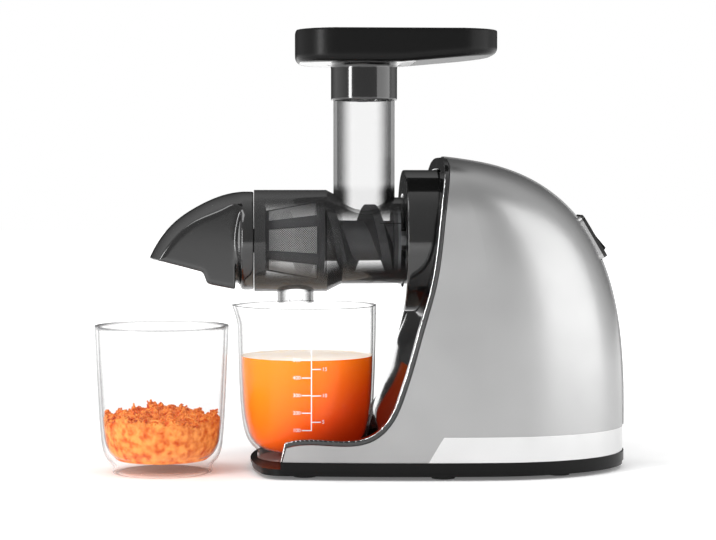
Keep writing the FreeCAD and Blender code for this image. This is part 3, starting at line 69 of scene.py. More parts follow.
# Materials
class Shader:
    def __init__(self, name):
        self.material = bpy.data.materials.new(name)
        self.material.use_nodes = True
        self.tree = self.material.node_tree
        self.surface = self.tree.nodes["Principled BSDF"]
        self.coords = self.tree.nodes.new("ShaderNodeTexCoord")

    def add(self, kind, **values):
        node = self.tree.nodes.new(kind)
        for key, value in values.items():
            setattr(node, key, value)
        return node

    def link(self, source, target):
        self.tree.links.new(source, target)

    def set(self, **values):
        for key, value in values.items():
            self.surface.inputs[key.replace("_", " ")].default_value = value

    def noise(self, scale, detail=3.0, stretch=(1, 1, 1)):
        mapping = self.add("ShaderNodeMapping")
        mapping.inputs["Scale"].default_value = stretch
        self.link(self.coords.outputs["Object"], mapping.inputs["Vector"])
        texture = self.add("ShaderNodeTexNoise")
        texture.inputs["Scale"].default_value = scale
        texture.inputs["Detail"].default_value = detail
        self.link(mapping.outputs["Vector"], texture.inputs["Vector"])
        return texture.outputs["Fac"]

    def ramp(self, source, stops):
        ramp = self.add("ShaderNodeValToRGB")
        elements = ramp.color_ramp.elements
        while len(elements) < len(stops):
            elements.new(0.5)
        for element, (place, color) in zip(elements, stops):
            element.position = place
            element.color = (*color, 1.0)
        self.link(source, ramp.inputs["Fac"])
        return ramp.outputs["Color"]

    def span(self, source, low, high):
        spread = self.add("ShaderNodeMapRange")
        spread.inputs["To Min"].default_value = low
        spread.inputs["To Max"].default_value = high
        self.link(source, spread.inputs["Value"])
        return spread.outputs["Result"]

    def eased(self, source, start, end, low, high):
        spread = self.add("ShaderNodeMapRange", interpolation_type="SMOOTHSTEP")
        for label, value in (("From Min", start), ("From Max", end), ("To Min", low), ("To Max", high)):
            spread.inputs[label].default_value = value
        self.link(source, spread.inputs["Value"])
        return spread.outputs["Result"]

    def pair(self, operation, first, second):
        node = self.add("ShaderNodeMath", operation=operation)
        for index, source in enumerate((first, second)):
            if hasattr(source, "is_output"):
                self.link(source, node.inputs[index])
            else:
                node.inputs[index].default_value = source
        return node.outputs[0]

    def bump(self, source, strength, distance):
        bump = self.add("ShaderNodeBump")
        bump.inputs["Strength"].default_value = strength
        bump.inputs["Distance"].default_value = distance
        self.link(source, bump.inputs["Height"])
        self.link(bump.outputs["Normal"], self.surface.inputs["Normal"])


def shade(color, spread):
    return tuple(max(0.0, min(1.0, part * spread)) for part in color)


def moulded(name, color, roughness, grain, relief, coat=0.0, metal=0.0, stretch=(1, 1, 1)):
    shader = Shader(name)
    shader.set(Metallic=metal, Coat_Weight=coat, Coat_Roughness=0.06)
    fine = shader.noise(grain, 4.0, stretch)
    wide = shader.noise(14.0, 2.0)
    tint = shader.ramp(wide, [(0.3, shade(color, 0.93)), (0.7, shade(color, 1.06))])
    shader.link(tint, shader.surface.inputs["Base Color"])
    shader.link(shader.span(fine, roughness * 0.85, roughness * 1.15), shader.surface.inputs["Roughness"])
    shader.bump(fine, relief, 0.0003)
    return shader


finishes = {}
finishes["silver"] = moulded("silverPaint", (0.385, 0.385, 0.385), 0.34, 2600.0, 0.03, coat=0.1, metal=0.92)
finishes["bright"] = moulded("platedBand", (0.62, 0.62, 0.62), 0.16, 900.0, 0.01, metal=1.0)
finishes["gloss_black"] = moulded("pianoBlack", (0.006, 0.006, 0.006), 0.12, 1200.0, 0.008, coat=0.6)
finishes["satin_black"] = moulded("satinBlack", (0.004, 0.004, 0.004), 0.32, 2200.0, 0.05)
finishes["satin_black"].set(Specular_IOR_Level=0.14)
finishes["auger_grey"] = moulded("augerGrey", (0.075, 0.075, 0.078), 0.65, 1500.0, 0.06)
finishes["steel"] = moulded("turnedSteel", (0.55, 0.56, 0.57), 0.28, 1800.0, 0.04,
                            metal=1.0, stretch=(4, 1, 1))
finishes["mesh_steel"] = moulded("strainerSteel", (0.92, 0.92, 0.92), 0.45, 1800.0, 0.04, metal=0.3)
finishes["plated_steel"] = moulded("zincPlate", (0.50, 0.51, 0.52), 0.36, 700.0, 0.05, metal=1.0)
finishes["rubber"] = moulded("softRubber", (0.020, 0.020, 0.020), 0.70, 1600.0, 0.12)
finishes["seal_grey"] = moulded("siliconeGrey", (0.22, 0.23, 0.24), 0.55, 1500.0, 0.06)
finishes["nylon"] = moulded("naturalNylon", (0.70, 0.67, 0.60), 0.45, 1300.0, 0.06)
finishes["copper"] = moulded("copperBars", (0.62, 0.30, 0.16), 0.30, 1500.0, 0.05,
                             metal=1.0, stretch=(1, 6, 6))
finishes["magnet"] = moulded("ferrite", (0.05, 0.05, 0.055), 0.60, 900.0, 0.15)
finishes["laminate"] = moulded("laminations", (0.30, 0.30, 0.31), 0.40, 1500.0, 0.25,
                               metal=1.0, stretch=(9, 1, 1))
finishes["carbon"] = moulded("brushCarbon", (0.03, 0.03, 0.032), 0.65, 1400.0, 0.12)
finishes["board_green"] = moulded("boardGreen", (0.02, 0.13, 0.06), 0.30, 500.0, 0.05)


def clearPlastic(name, setting):
    shader = Shader(name)
    weight = shader.add("ShaderNodeLayerWeight")
    weight.inputs["Blend"].default_value = 0.5
    cover = shader.eased(weight.outputs["Facing"], *setting["reach"], setting["middle"], setting["edge"])
    split = shader.add("ShaderNodeSeparateXYZ")
    shader.link(shader.coords.outputs["Object"], split.inputs[0])
    if "thinAbove" in setting:
        top = setting["thinAbove"]
        bottom = setting["thinBelow"]
        above = shader.eased(split.outputs["Z"], top * mm, (top + 8) * mm, 1.0, setting["thin"])
        below = shader.eased(split.outputs["Z"], (bottom - 2) * mm, bottom * mm, setting["thin"], 1.0)
        cover = shader.pair("MULTIPLY", shader.pair("MULTIPLY", cover, above), below)
    if "darkBefore" in setting:
        end = setting["darkBefore"]
        band = shader.eased(split.outputs["X"], end * mm, (end + 0.4) * mm, 0.8, 0.0)
        cover = shader.pair("MAXIMUM", cover, band)
    shader.link(cover, shader.surface.inputs["Alpha"])
    # The tint ramps with height over the lowest 0.2 m; in the cup it is painted light, with the foot's lowest
    # 6 mm painted lighter than the wall above.
    height = shader.eased(split.outputs["Z"], 0.0, 0.2, 0.0, 1.0)
    shader.link(shader.ramp(height, setting["tint"]), shader.surface.inputs["Base Color"])
    shader.set(Roughness=setting["rough"], IOR=1.49)
    return shader


finishes["clear"] = clearPlastic("smokeDrum", {
    "reach": (0.04, 0.58), "middle": 0.05, "edge": 0.97, "rough": 0.08,
    "thin": 0.5, "thinAbove": 206.0, "thinBelow": 134.0,  # the chute and the spout are paler
    "darkBefore": -72.5,  # the drum's dark front rim
    "tint": [(0.0, (0.02, 0.02, 0.02)), (1.0, (0.024, 0.024, 0.024))],
})
finishes["clear_cup"] = clearPlastic("clearCup", {
    "reach": (0.60, 1.0), "middle": 0.04, "edge": 1.0, "rough": 0.05,
    # Painted light: the foot's lowest 6 mm are painted pale grey, lighter than the wall above.
    "tint": [
        (0.0, (0.70, 0.71, 0.72)), (0.012, (0.62, 0.63, 0.64)),
        (0.03, (0.16, 0.165, 0.17)), (1.0, (0.16, 0.165, 0.17)),
    ],
})
finishes["clear_rim"] = clearPlastic("clearRim", {
    "reach": (0.1, 1.0), "middle": 0.16, "edge": 0.8, "rough": 0.05,
    "tint": [(0.0, (0.16, 0.16, 0.165)), (1.0, (0.18, 0.18, 0.185))],
})
finishes["white_print"] = moulded("whitePrint", (0.92, 0.92, 0.92), 0.5, 900.0, 0.01)


def fruitFinish(name, dark, light, grain, rough, glow):
    shader = Shader(name)
    specks = shader.noise(grain, 5.0)
    tint = shader.ramp(specks, [(0.32, dark), (0.62, light)])
    shader.link(tint, shader.surface.inputs["Base Color"])
    # Painted light: the emission makes the foam and the pulp glow with their own colour.
    shader.link(tint, shader.surface.inputs["Emission Color"])
    shader.set(Roughness=rough, Emission_Strength=glow, Specular_IOR_Level=0.15)
    shader.bump(specks, 0.15, 0.0004)
    return shader


def juiceFinish(name, stops, paintedShadeLean, reach, glow):
    shader = Shader(name)
    # Painted shade: the juice's colour is darkened along a fixed slant, from bright orange at the upper left
    # to dark red at the lower right; depth below is the place along this slant of painted shade.
    paintedShadeAlong = shader.add("ShaderNodeVectorMath", operation="DOT_PRODUCT")
    paintedShadeAlong.inputs[1].default_value = paintedShadeLean
    shader.link(shader.coords.outputs["Object"], paintedShadeAlong.inputs[0])
    depth = shader.eased(paintedShadeAlong.outputs["Value"], reach[0] * mm, reach[1] * mm, 0.0, 1.0)
    cloud = shader.pair("MULTIPLY", shader.noise(28.0, 3.0), 0.12)
    tint = shader.ramp(shader.pair("ADD", depth, cloud), stops)
    shader.link(tint, shader.surface.inputs["Base Color"])
    # Painted light: the juice glows with its own colour.
    shader.link(tint, shader.surface.inputs["Emission Color"])
    shader.set(Roughness=0.2, Emission_Strength=glow, Specular_IOR_Level=0.2)
    return shader


# Painted shade and painted light: the juice is painted darker towards its lower right, and it glows at 0.42.
finishes["juice"] = juiceFinish("carrotJuice", [
    (0.05, (0.98, 0.24, 0.002)), (0.45, (0.93, 0.15, 0.0)),
    (0.75, (0.72, 0.05, 0.0)), (1.0, (0.36, 0.012, 0.0)),
], (0.62, 0.0, -0.78), (-118.0, -4.0), 0.42)
# Painted light: the foam glows at 0.5 and the pulp at 0.04.
finishes["foam"] = fruitFinish("juiceFoam", (1.0, 0.80, 0.62), (1.0, 0.93, 0.86), 160.0, 0.5, 0.5)
finishes["pulp"] = fruitFinish("carrotPulp", (0.66, 0.075, 0.003), (1.0, 0.37, 0.08), 210.0, 0.6, 0.04)


def makeBezel():
    shader = moulded("switchBezel", (0.44, 0.44, 0.44), 0.34, 2600.0, 0.03)
    away = shader.add("ShaderNodeVectorMath", operation="DOT_PRODUCT")
    away.inputs[1].default_value = (0.86, 0.0, 0.51)
    shader.link(shader.coords.outputs["Object"], away.inputs[0])
    rim = shader.eased(away.outputs["Value"], 0.2364, 0.2367, 0.0, 1.0)
    tint = shader.ramp(rim, [(0.0, (0.44, 0.44, 0.44)), (1.0, (0.005, 0.005, 0.005))])
    shader.link(tint, shader.surface.inputs["Base Color"])
    metal = shader.pair("SUBTRACT", 0.92, shader.pair("MULTIPLY", rim, 0.92))
    shader.link(metal, shader.surface.inputs["Metallic"])
    return shader


finishes["bezel"] = makeBezel()
print("materials made:", len(finishes))

slotOf = {}
for part in frame["record"]["subparts"]:
    slotOf[part["node"]] = part["material_slot"]
for name, piece in nodes.items():
    piece.data.materials.clear()
    finish = "bezel" if name == "switch_bezel" else slotOf[name]
    piece.data.materials.append(finishes[finish].material)
print("finishes laid on the CAD nodes")

# Mesh helpers
def makePiece(name, mesh, slotName, body, replaced=()):
    edit = bmesh.new()
    edit.from_mesh(mesh)
    bmesh.ops.remove_doubles(edit, verts=edit.verts, dist=0.000002)
    bmesh.ops.recalc_face_normals(edit, faces=edit.faces)
    edit.to_mesh(mesh)
    edit.free()
    piece = bpy.data.objects.new(name, mesh)
    bpy.context.scene.collection.objects.link(piece)
    if not mesh.materials:
        mesh.materials.append(finishes[slotName].material)
    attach(piece, body)
    if replaced:
        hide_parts(*replaced)
    return piece


def softShade(piece, angle=35.0):
    for polygon in piece.data.polygons:
        polygon.use_smooth = True
    edit = bmesh.new()
    edit.from_mesh(piece.data)
    limit = math.radians(angle)
    for edge in edit.edges:
        if len(edge.link_faces) == 2:
            edge.smooth = edge.calc_face_angle(0.0) < limit
    edit.to_mesh(piece.data)
    edit.free()


def easedLine(points, steps):
    eased = []
    count = len(points)
    for index in range(count - 1):
        before = Vector(points[max(index - 1, 0)])
        start = Vector(points[index])
        end = Vector(points[index + 1])
        after = Vector(points[min(index + 2, count - 1)])
        for step in range(steps):
            t = step / steps
            spot = 2 * start + (end - before) * t
            spot += (2 * before - 5 * start + 4 * end - after) * t ** 2
            spot += (3 * start - before - 3 * end + after) * t ** 3
            eased.append(tuple(spot * 0.5))
    eased.append(tuple(points[-1]))
    return eased


def latheMesh(name, profile, centre, around, reshape=None):
    mesh = bpy.data.meshes.new(name)
    points = []
    rings = []
    for radius, height in profile:
        ring = []
        if radius < 1e-6:
            ring = [len(points)] * around
            points.append(Vector((centre[0], centre[1], height)) * mm)
        else:
            for turn in range(around):
                angle = 2 * math.pi * turn / around
                grown = radius + (reshape(angle, radius, height) if reshape else 0.0)
                across = centre[0] + grown * math.cos(angle)
                deep = centre[1] + grown * math.sin(angle)
                ring.append(len(points))
                points.append(Vector((across, deep, height)) * mm)
        rings.append(ring)
    faces = []
    for lower, upper in zip(rings, rings[1:]):
        for turn in range(around):
            after = (turn + 1) % around
            corners = []
            for corner in (lower[turn], lower[after], upper[after], upper[turn]):
                if corner not in corners:
                    corners.append(corner)
            if len(corners) > 2:
                faces.append(corners)
    mesh.from_pydata(points, [], faces)
    return mesh


# Geometry Nodes helper: one tree per repeated piece, with named inputs
class Grower:
    def __init__(self, name, inputs):
        self.tree = bpy.data.node_groups.new(name, "GeometryNodeTree")
        face = self.tree.interface
        face.new_socket("Geometry", in_out="INPUT", socket_type="NodeSocketGeometry")
        face.new_socket("Geometry", in_out="OUTPUT", socket_type="NodeSocketGeometry")
        self.values = {}
        for label, value in inputs.items():
            kind = "NodeSocketInt" if isinstance(value, int) else "NodeSocketFloat"
            socket = face.new_socket(label, in_out="INPUT", socket_type=kind)
            self.values[socket.identifier] = value
        self.entry = self.tree.nodes.new("NodeGroupInput")
        self.exit = self.tree.nodes.new("NodeGroupOutput")

    def add(self, kind, links=None, **values):
        node = self.tree.nodes.new(kind)
        for key, value in values.items():
            setattr(node, key, value)
        for key, source in (links or {}).items():
            if hasattr(source, "is_output"):
                self.tree.links.new(source, node.inputs[key])
            else:
                node.inputs[key].default_value = source
        return node

    def given(self, label):
        return self.entry.outputs[label]

    def sum(self, operation, first, second=0.0):
        return self.add("ShaderNodeMath", {0: first, 1: second}, operation=operation).outputs[0]

    def finishWith(self, geometry, finish):
        real = self.add("GeometryNodeRealizeInstances", {"Geometry": geometry})
        painted = self.add("GeometryNodeSetMaterial", {"Geometry": real.outputs[0]})
        painted.inputs["Material"].default_value = finish.material
        self.tree.links.new(painted.outputs[0], self.exit.inputs["Geometry"])

    def grow(self, name, base):
        holder = bpy.data.objects.new(name + "Seed", base)
        bpy.context.scene.collection.objects.link(holder)
        modifier = holder.modifiers.new("grow", "NODES")
        modifier.node_group = self.tree
        for identifier, value in self.values.items():
            modifier[identifier] = value
        bpy.context.view_layer.update()
        evaluated = holder.evaluated_get(bpy.context.evaluated_depsgraph_get())
        mesh = bpy.data.meshes.new_from_object(evaluated)
        mesh.name = name
        holder.modifiers.remove(modifier)
        bpy.data.objects.remove(holder)
        return mesh


# Soft-edged copies of moulded nodes, with the same outline
softened = {
    "end_cap": {"name": "capSoft", "voxel": 0.7, "rounds": 36, "body": "cap"},
    "right_trim": {
        "name": "rightTrimSoft", "voxel": 0.45, "rounds": 12, "body": "machine", "second": "bright",
        "where": lambda face: face.normal.dot(Vector((-0.72, -0.66, 0.2))) > 0.80,
    },
    "left_trim": {
        "name": "leftTrimSoft", "voxel": 0.45, "rounds": 12, "body": "machine", "second": "bright",
        "where": lambda face: face.normal.dot(Vector((-0.72, 0.66, 0.2))) > 0.80,
    },
    "drum_dock": {"name": "dockSoft", "voxel": 0.8, "rounds": 8, "body": "machine"},
    "feed_tray": {
        "name": "traySoft", "voxel": 0.9, "rounds": 8, "body": "tray", "second": "gloss_black",
        "where": lambda face: face.center.z < 0.303,
    },
    "front_fascia": {
        "name": "fasciaSoft", "voxel": 0.9, "rounds": 6, "body": "machine",
        "bulge": {"half": 68.0, "low": 18.0, "high": 122.0, "ease": 30.0, "depth": 7.0},
    },
}


def swell(mesh, bulge):
    for vertex in mesh.vertices:
        x, y, z = vertex.co / mm
        across = max(0.0, 1 - (y / bulge["half"]) ** 2)
        along = max(0.0, min(1.0, (z - bulge["low"]) / bulge["ease"], (bulge["high"] - z) / bulge["ease"]))
        vertex.co.x -= bulge["depth"] * across * along * along * (3 - 2 * along) * mm


def softenNode(node, setting):
    holder = bpy.data.objects.new(setting["name"] + "Seed", nodes[node].data.copy())
    holder.matrix_world = nodes[node].matrix_world
    bpy.context.scene.collection.objects.link(holder)
    remesh = holder.modifiers.new("remesh", "REMESH")
    remesh.mode = "VOXEL"
    remesh.voxel_size = setting["voxel"] * mm
    smooth = holder.modifiers.new("smooth", "SMOOTH")
    smooth.factor = 0.5
    smooth.iterations = setting["rounds"]
    bpy.context.view_layer.update()
    mesh = bpy.data.meshes.new_from_object(holder.evaluated_get(bpy.context.evaluated_depsgraph_get()))
    mesh.transform(nodes[node].matrix_world)
    bpy.data.objects.remove(holder)
    print(node, "softened, triangles:", sum(len(face.vertices) - 2 for face in mesh.polygons))
    if "bulge" in setting:
        swell(mesh, setting["bulge"])
    piece = makePiece(setting["name"], mesh, slotOf[node], setting["body"], [node])
    softShade(piece, 60)
    if "second" in setting:
        piece.data.materials.append(finishes[setting["second"]].material)
        for polygon in piece.data.polygons:
            polygon.material_index = int(setting["where"](polygon))


for node, setting in softened.items():
    softenNode(node, setting)
print("soft copies made")

# Juice jug: a clear turned wall with a pulled pouring lip
jug = {
    "centre": (-41.0, 0.0),
    "rim": 122.6,
    "outer": [
        (0, 8.1), (30, 8.1), (36.6, 8.2), (37.4, 9.4), (37.2, 12.2), (38.6, 14.6), (43.0, 19.4),
        (46.2, 25.6), (48.4, 35.0), (50.0, 50.0), (51.2, 75.0), (51.9, 100.0), (52.2, 120.6),
        (52.1, 122.2),
    ],
    "edge": [(51.4, 122.55), (50.6, 122.4), (50.2, 121.6)],
    "inner": [
        (50.1, 112.0), (49.9, 100.0), (49.3, 75.0), (48.1, 50.0), (46.4, 36.0), (43.6, 25.6),
        (39.4, 19.0), (32.0, 14.4), (20.0, 13.0), (8.0, 12.6), (0, 12.6),
    ],
    "lipReach": 4.0,
    "lipDrop": 17.0,
    "lipSpread": 0.26,
    "around": 160,
}


def jugRadius(height):
    outer = jug["outer"][4:]
    for (low, bottom), (high, top) in zip(outer, outer[1:]):
        if height <= top:
            return low + (high - low) * max(0.0, height - bottom) / (top - bottom)
    return outer[-1][0]


def pullLip(angle, radius, height):
    rise = (height - jug["rim"] + jug["lipDrop"]) / jug["lipDrop"]
    if rise <= 0 or radius < 40:
        return 0.0
    turn = abs(math.remainder(angle - math.pi, 2 * math.pi))
    return jug["lipReach"] * rise ** 1.6 * math.exp(-(turn / jug["lipSpread"]) ** 2)


def markRim(piece, height):
    piece.data.materials.append(finishes["clear_rim"].material)
    for polygon in piece.data.polygons:
        if polygon.center.z > height * mm:
            polygon.material_index = 1


def makeJug():
    profile = easedLine(jug["outer"], 5) + jug["edge"] + easedLine(jug["inner"], 4)
    mesh = latheMesh("jugWall", profile, jug["centre"], jug["around"], pullLip)
    piece = makePiece("jugWall", mesh, "clear_cup", "jug", ["juice_jug"])
    markRim(piece, jug["rim"] - 0.6)
    softShade(piece, 50)


# Pulp cup: clear, thick footed tumbler
cup = {
    "centre": (-148.7, -17.0),
    "rim": 107.9,
    "outer": [
        (0, 1.4), (28, 1.2), (33.6, 0.1), (36.4, 0.2), (37.0, 1.6), (36.6, 4.6), (38.4, 7.4),
        (42.0, 12.0), (44.4, 20.0), (45.8, 34.0), (47.0, 54.0), (48.3, 80.0), (49.5, 106.4),
        (49.3, 107.8),
    ],
    "inner": [
        (47.5, 107.9), (47.2, 106.8), (46.2, 80.0), (44.9, 54.0), (43.7, 35.0), (42.0, 22.0),
        (38.6, 14.6), (33.0, 11.0), (20.0, 9.6), (0, 9.4),
    ],
    "around": 160,
}


def makeCup():
    profile = easedLine(cup["outer"], 5) + easedLine(cup["inner"], 5)
    mesh = latheMesh("cupWall", profile, cup["centre"], cup["around"])
    piece = makePiece("cupWall", mesh, "clear_cup", "cup", ["pulp_cup"])
    markRim(piece, cup["rim"] - 0.6)
    softShade(piece, 50)


makeJug()
makeCup()
print("jug and cup turned")

# Printed scale on the near side of the jug: ticks and plain numbers
scaleMarks = {
    "line": 1.7,
    "low": 33.7,
    "step": 12.9,
    "count": 7,
    "tick": 7.0,
    "weight": 0.75,
    "rightLow": 39.8,
    "rightStep": 19.4,
    "rightCount": 4,
    "height": 3.9,
    "lift": 0.12,
    "depth": 0.16,
}


def wrapOnJug(mesh):
    for vertex in mesh.vertices:
        across, depth, height = (part / mm for part in vertex.co)
        radius = jugRadius(height) + scaleMarks["lift"] + depth
        angle = across / radius
        aside = jug["centre"][0] + radius * math.sin(angle)
        vertex.co = Vector((aside, -radius * math.cos(angle), height)) * mm


def growTicks(name, side, low, step, count):
    grower = Grower(name, {
        "Count": count, "Step": step * mm,
        "Length": scaleMarks["tick"] * mm, "Weight": scaleMarks["weight"] * mm,
    })
    line = grower.add("GeometryNodeMeshLine", {"Count": grower.given("Count")})
    offset = grower.add("ShaderNodeCombineXYZ", {"Z": grower.given("Step")})
    grower.tree.links.new(offset.outputs[0], line.inputs["Offset"])
    size = grower.add("ShaderNodeCombineXYZ", {
        "X": grower.given("Length"), "Y": scaleMarks["depth"] * mm, "Z": grower.given("Weight"),
    })
    tick = grower.add("GeometryNodeMeshCube", {"Size": size.outputs[0], "Vertices X": 8})
    copies = grower.add("GeometryNodeInstanceOnPoints", {
        "Points": line.outputs[0], "Instance": tick.outputs[0],
    })
    grower.finishWith(copies.outputs[0], finishes["white_print"])
    mesh = grower.grow(name, bpy.data.meshes.new(name + "Base"))
    shift = scaleMarks["line"] + side * scaleMarks["tick"] / 2
    mesh.transform(Matrix.Translation(Vector((shift, 0, low)) * mm))
    return mesh


def numberMesh(text, across, height, size, align):
    data = bpy.data.curves.new("number" + text, "FONT")
    data.body = text
    data.size = size * mm
    data.align_x = align
    data.align_y = "CENTER"
    data.extrude = scaleMarks["depth"] * mm / 2
    data.resolution_u = 3
    holder = bpy.data.objects.new("number" + text, data)
    bpy.context.scene.collection.objects.link(holder)
    bpy.context.view_layer.update()
    mesh = bpy.data.meshes.new_from_object(holder.evaluated_get(bpy.context.evaluated_depsgraph_get()))
    bpy.data.objects.remove(holder)
    upright = Matrix.Rotation(math.pi / 2, 4, "X")
    mesh.transform(Matrix.Translation(Vector((across, 0, height)) * mm) @ upright)
    return mesh


def joinMeshes(name, meshes):
    edit = bmesh.new()
    for mesh in meshes:
        edit.from_mesh(mesh)
    joined = bpy.data.meshes.new(name)
    edit.to_mesh(joined)
    edit.free()
    return joined


def makeScale():
    marks = scaleMarks
    left = growTicks("leftTicks", -1, marks["low"], marks["step"], marks["count"])
    right = growTicks("rightTicks", 1, marks["rightLow"], marks["rightStep"], marks["rightCount"])
    span = marks["step"] * (marks["count"] - 1)
    spine = bpy.data.meshes.new("scaleSpine")
    spineSize = Vector((marks["weight"], marks["depth"], span + marks["weight"])) * mm
    spineSpot = Vector((marks["line"], 0, marks["low"] + span / 2)) * mm
    edit = bmesh.new()
    bmesh.ops.create_cube(edit, size=1.0)
    bmesh.ops.scale(edit, vec=spineSize, verts=edit.verts)
    bmesh.ops.translate(edit, vec=spineSpot, verts=edit.verts)
    bmesh.ops.subdivide_edges(edit, edges=edit.edges, cuts=16, use_grid_fill=True)
    edit.to_mesh(spine)
    edit.free()
    meshes = [left, right, spine]
    gap = marks["tick"] + 0.8
    for index in range(marks["count"]):
        height = marks["low"] + marks["step"] * index
        text = str(100 * (index + 1))
        meshes.append(numberMesh(text, marks["line"] - gap, height, marks["height"], "RIGHT"))
    for index in range(marks["rightCount"]):
        height = marks["rightLow"] + marks["rightStep"] * index
        text = str(5 * (index + 1))
        meshes.append(numberMesh(text, marks["line"] + gap, height, marks["height"], "LEFT"))
    joined = joinMeshes("jugScale", meshes)
    wrapOnJug(joined)
    joined.materials.clear()
    joined.materials.append(finishes["white_print"].material)
    piece = bpy.data.objects.new("jugScale", joined)
    bpy.context.scene.collection.objects.link(piece)
    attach(piece, "jug")


makeScale()
print("jug scale printed")

# Strainer weave: crossed wires in the six windows of the strainer's frame
weave = {
    "frontX": -71.5,
    "rearX": -32.3,
    "frontRadius": 21.5,
    "rearRadius": 28.7,
    "windowAngle": 45.0,
    "firstWindow": 87.0,
    "windows": 6,
    "pitch": 1.15,
    "wire": 0.2,
}
driveHeight = 170.6


def makeWeave():
    length = weave["rearX"] - weave["frontX"]
    middle = (weave["rearRadius"] + weave["frontRadius"]) / 2
    width = math.radians(weave["windowAngle"]) * middle
    side = (length + width) / math.sqrt(2)
    grower = Grower("strainerWeave", {
        "Cells": int(side / weave["pitch"]), "Side": side * mm, "Length": length * mm, "Width": width * mm,
        "Radius": middle * mm, "Taper": (weave["rearRadius"] - weave["frontRadius"]) / length,
        "Wire": weave["wire"] * mm, "Windows": weave["windows"],
    })
    grid = grower.add("GeometryNodeMeshGrid", {
        "Size X": grower.given("Side"), "Size Y": grower.given("Side"),
        "Vertices X": grower.given("Cells"), "Vertices Y": grower.given("Cells"),
    })
    turned = grower.add("GeometryNodeTransform", {
        "Geometry": grid.outputs["Mesh"], "Rotation": (0, 0, math.pi / 4),
    })
    place = grower.add("GeometryNodeInputPosition")
    parts = grower.add("ShaderNodeSeparateXYZ", {0: place.outputs[0]})
    halfLength = grower.sum("MULTIPLY", grower.given("Length"), 0.5)
    halfWidth = grower.sum("MULTIPLY", grower.given("Width"), 0.5)
    overLength = grower.sum("SUBTRACT", grower.sum("ABSOLUTE", parts.outputs["X"]), halfLength)
    overWidth = grower.sum("SUBTRACT", grower.sum("ABSOLUTE", parts.outputs["Y"]), halfWidth)
    outside = grower.sum("GREATER_THAN", grower.sum("MAXIMUM", overLength, overWidth), 0.0)
    kept = grower.add("GeometryNodeDeleteGeometry", {"Geometry": turned.outputs[0], "Selection": outside})
    spread = grower.sum("MULTIPLY", parts.outputs["X"], grower.given("Taper"))
    radius = grower.sum("ADD", grower.given("Radius"), spread)
    angle = grower.sum("DIVIDE", parts.outputs["Y"], grower.given("Radius"))
    across = grower.sum("MULTIPLY", radius, grower.sum("SINE", angle))
    up = grower.sum("MULTIPLY", radius, grower.sum("COSINE", angle))
    spot = grower.add("ShaderNodeCombineXYZ", {
        "X": parts.outputs["X"], "Y": grower.sum("MULTIPLY", across, -1.0), "Z": up,
    })
    bent = grower.add("GeometryNodeSetPosition", {"Geometry": kept.outputs[0], "Position": spot.outputs[0]})
    lines = grower.add("GeometryNodeMeshToCurve", {"Mesh": bent.outputs[0]})
    section = grower.add("GeometryNodeCurvePrimitiveCircle", {
        "Resolution": 3, "Radius": grower.given("Wire"),
    })
    wires = grower.add("GeometryNodeCurveToMesh", {
        "Curve": lines.outputs[0], "Profile Curve": section.outputs[0], "Fill Caps": True,
    })
    points = grower.add("GeometryNodeMeshLine", {"Count": grower.given("Windows"), "Offset": (0, 0, 0)})
    index = grower.add("GeometryNodeInputIndex")
    turn = grower.sum("DIVIDE", 2 * math.pi, grower.given("Windows"))
    stepped = grower.sum("MULTIPLY", index.outputs[0], turn)
    spin = grower.sum("ADD", stepped, math.radians(weave["firstWindow"]))
    rotation = grower.add("ShaderNodeCombineXYZ", {"X": spin})
    copies = grower.add("GeometryNodeInstanceOnPoints", {
        "Points": points.outputs[0], "Instance": wires.outputs[0], "Rotation": rotation.outputs[0],
    })
    grower.finishWith(copies.outputs[0], finishes["mesh_steel"])
    mesh = grower.grow("strainerWeave", bpy.data.meshes.new("weaveBase"))
    mesh.transform(Matrix.Translation(Vector(((weave["frontX"] + weave["rearX"]) / 2, 0, driveHeight)) * mm))
    piece = bpy.data.objects.new("strainerWeave", mesh)
    bpy.context.scene.collection.objects.link(piece)
    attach(piece, "strainer")
    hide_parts("strainer_mesh")


makeWeave()
print("strainer woven")

# Juice in the jug and pulp in the cup, as the photograph shows them
juice = {
    "level": 84.2,
    "around": 128,
    "side": [
        (0, 12.9), (8.0, 12.9), (20.0, 13.3), (31.8, 14.8), (39.0, 19.4), (43.2, 25.9),
        (46.1, 36.2), (47.8, 50.0), (48.9, 72.0),
    ],
}


def makeJuice():
    level = juice["level"]
    top = [(49.2, level - 0.6), (49.3, level + 0.5), (48.6, level - 0.1)]  # the edge climbs the wall
    profile = juice["side"] + top + [(46.8, level - 0.3), (24.0, level - 0.3), (0, level - 0.3)]
    mesh = latheMesh("jugJuice", profile, jug["centre"], juice["around"])
    mesh.materials.append(finishes["juice"].material)
    mesh.materials.append(finishes["foam"].material)
    piece = makePiece("jugJuice", mesh, "clear_cup", "jug")
    for polygon in piece.data.polygons:
        if polygon.normal.z > 0.6 and polygon.center.z > (level - 1.5) * mm:
            polygon.material_index = 1
    softShade(piece, 40)


pulp = {
    "level": 39.0, "swell": 4.0, "waves": 8.0, "crumbs": 4.6,
    "radius": 42.0, "reach": 42.6, "floor": 9.9,
    "rings": 60, "levels": 10, "around": 180, "seed": 7,
    "shreds": 800, "shredLength": 5.4, "shredWidth": 0.9, "shredBend": 1.1,
    "wall": [(8.0, 30.0), (11.2, 36.0), (14.8, 38.2), (22.0, 41.6), (35.0, 43.3), (54.0, 44.5), (80.0, 45.8)],
}


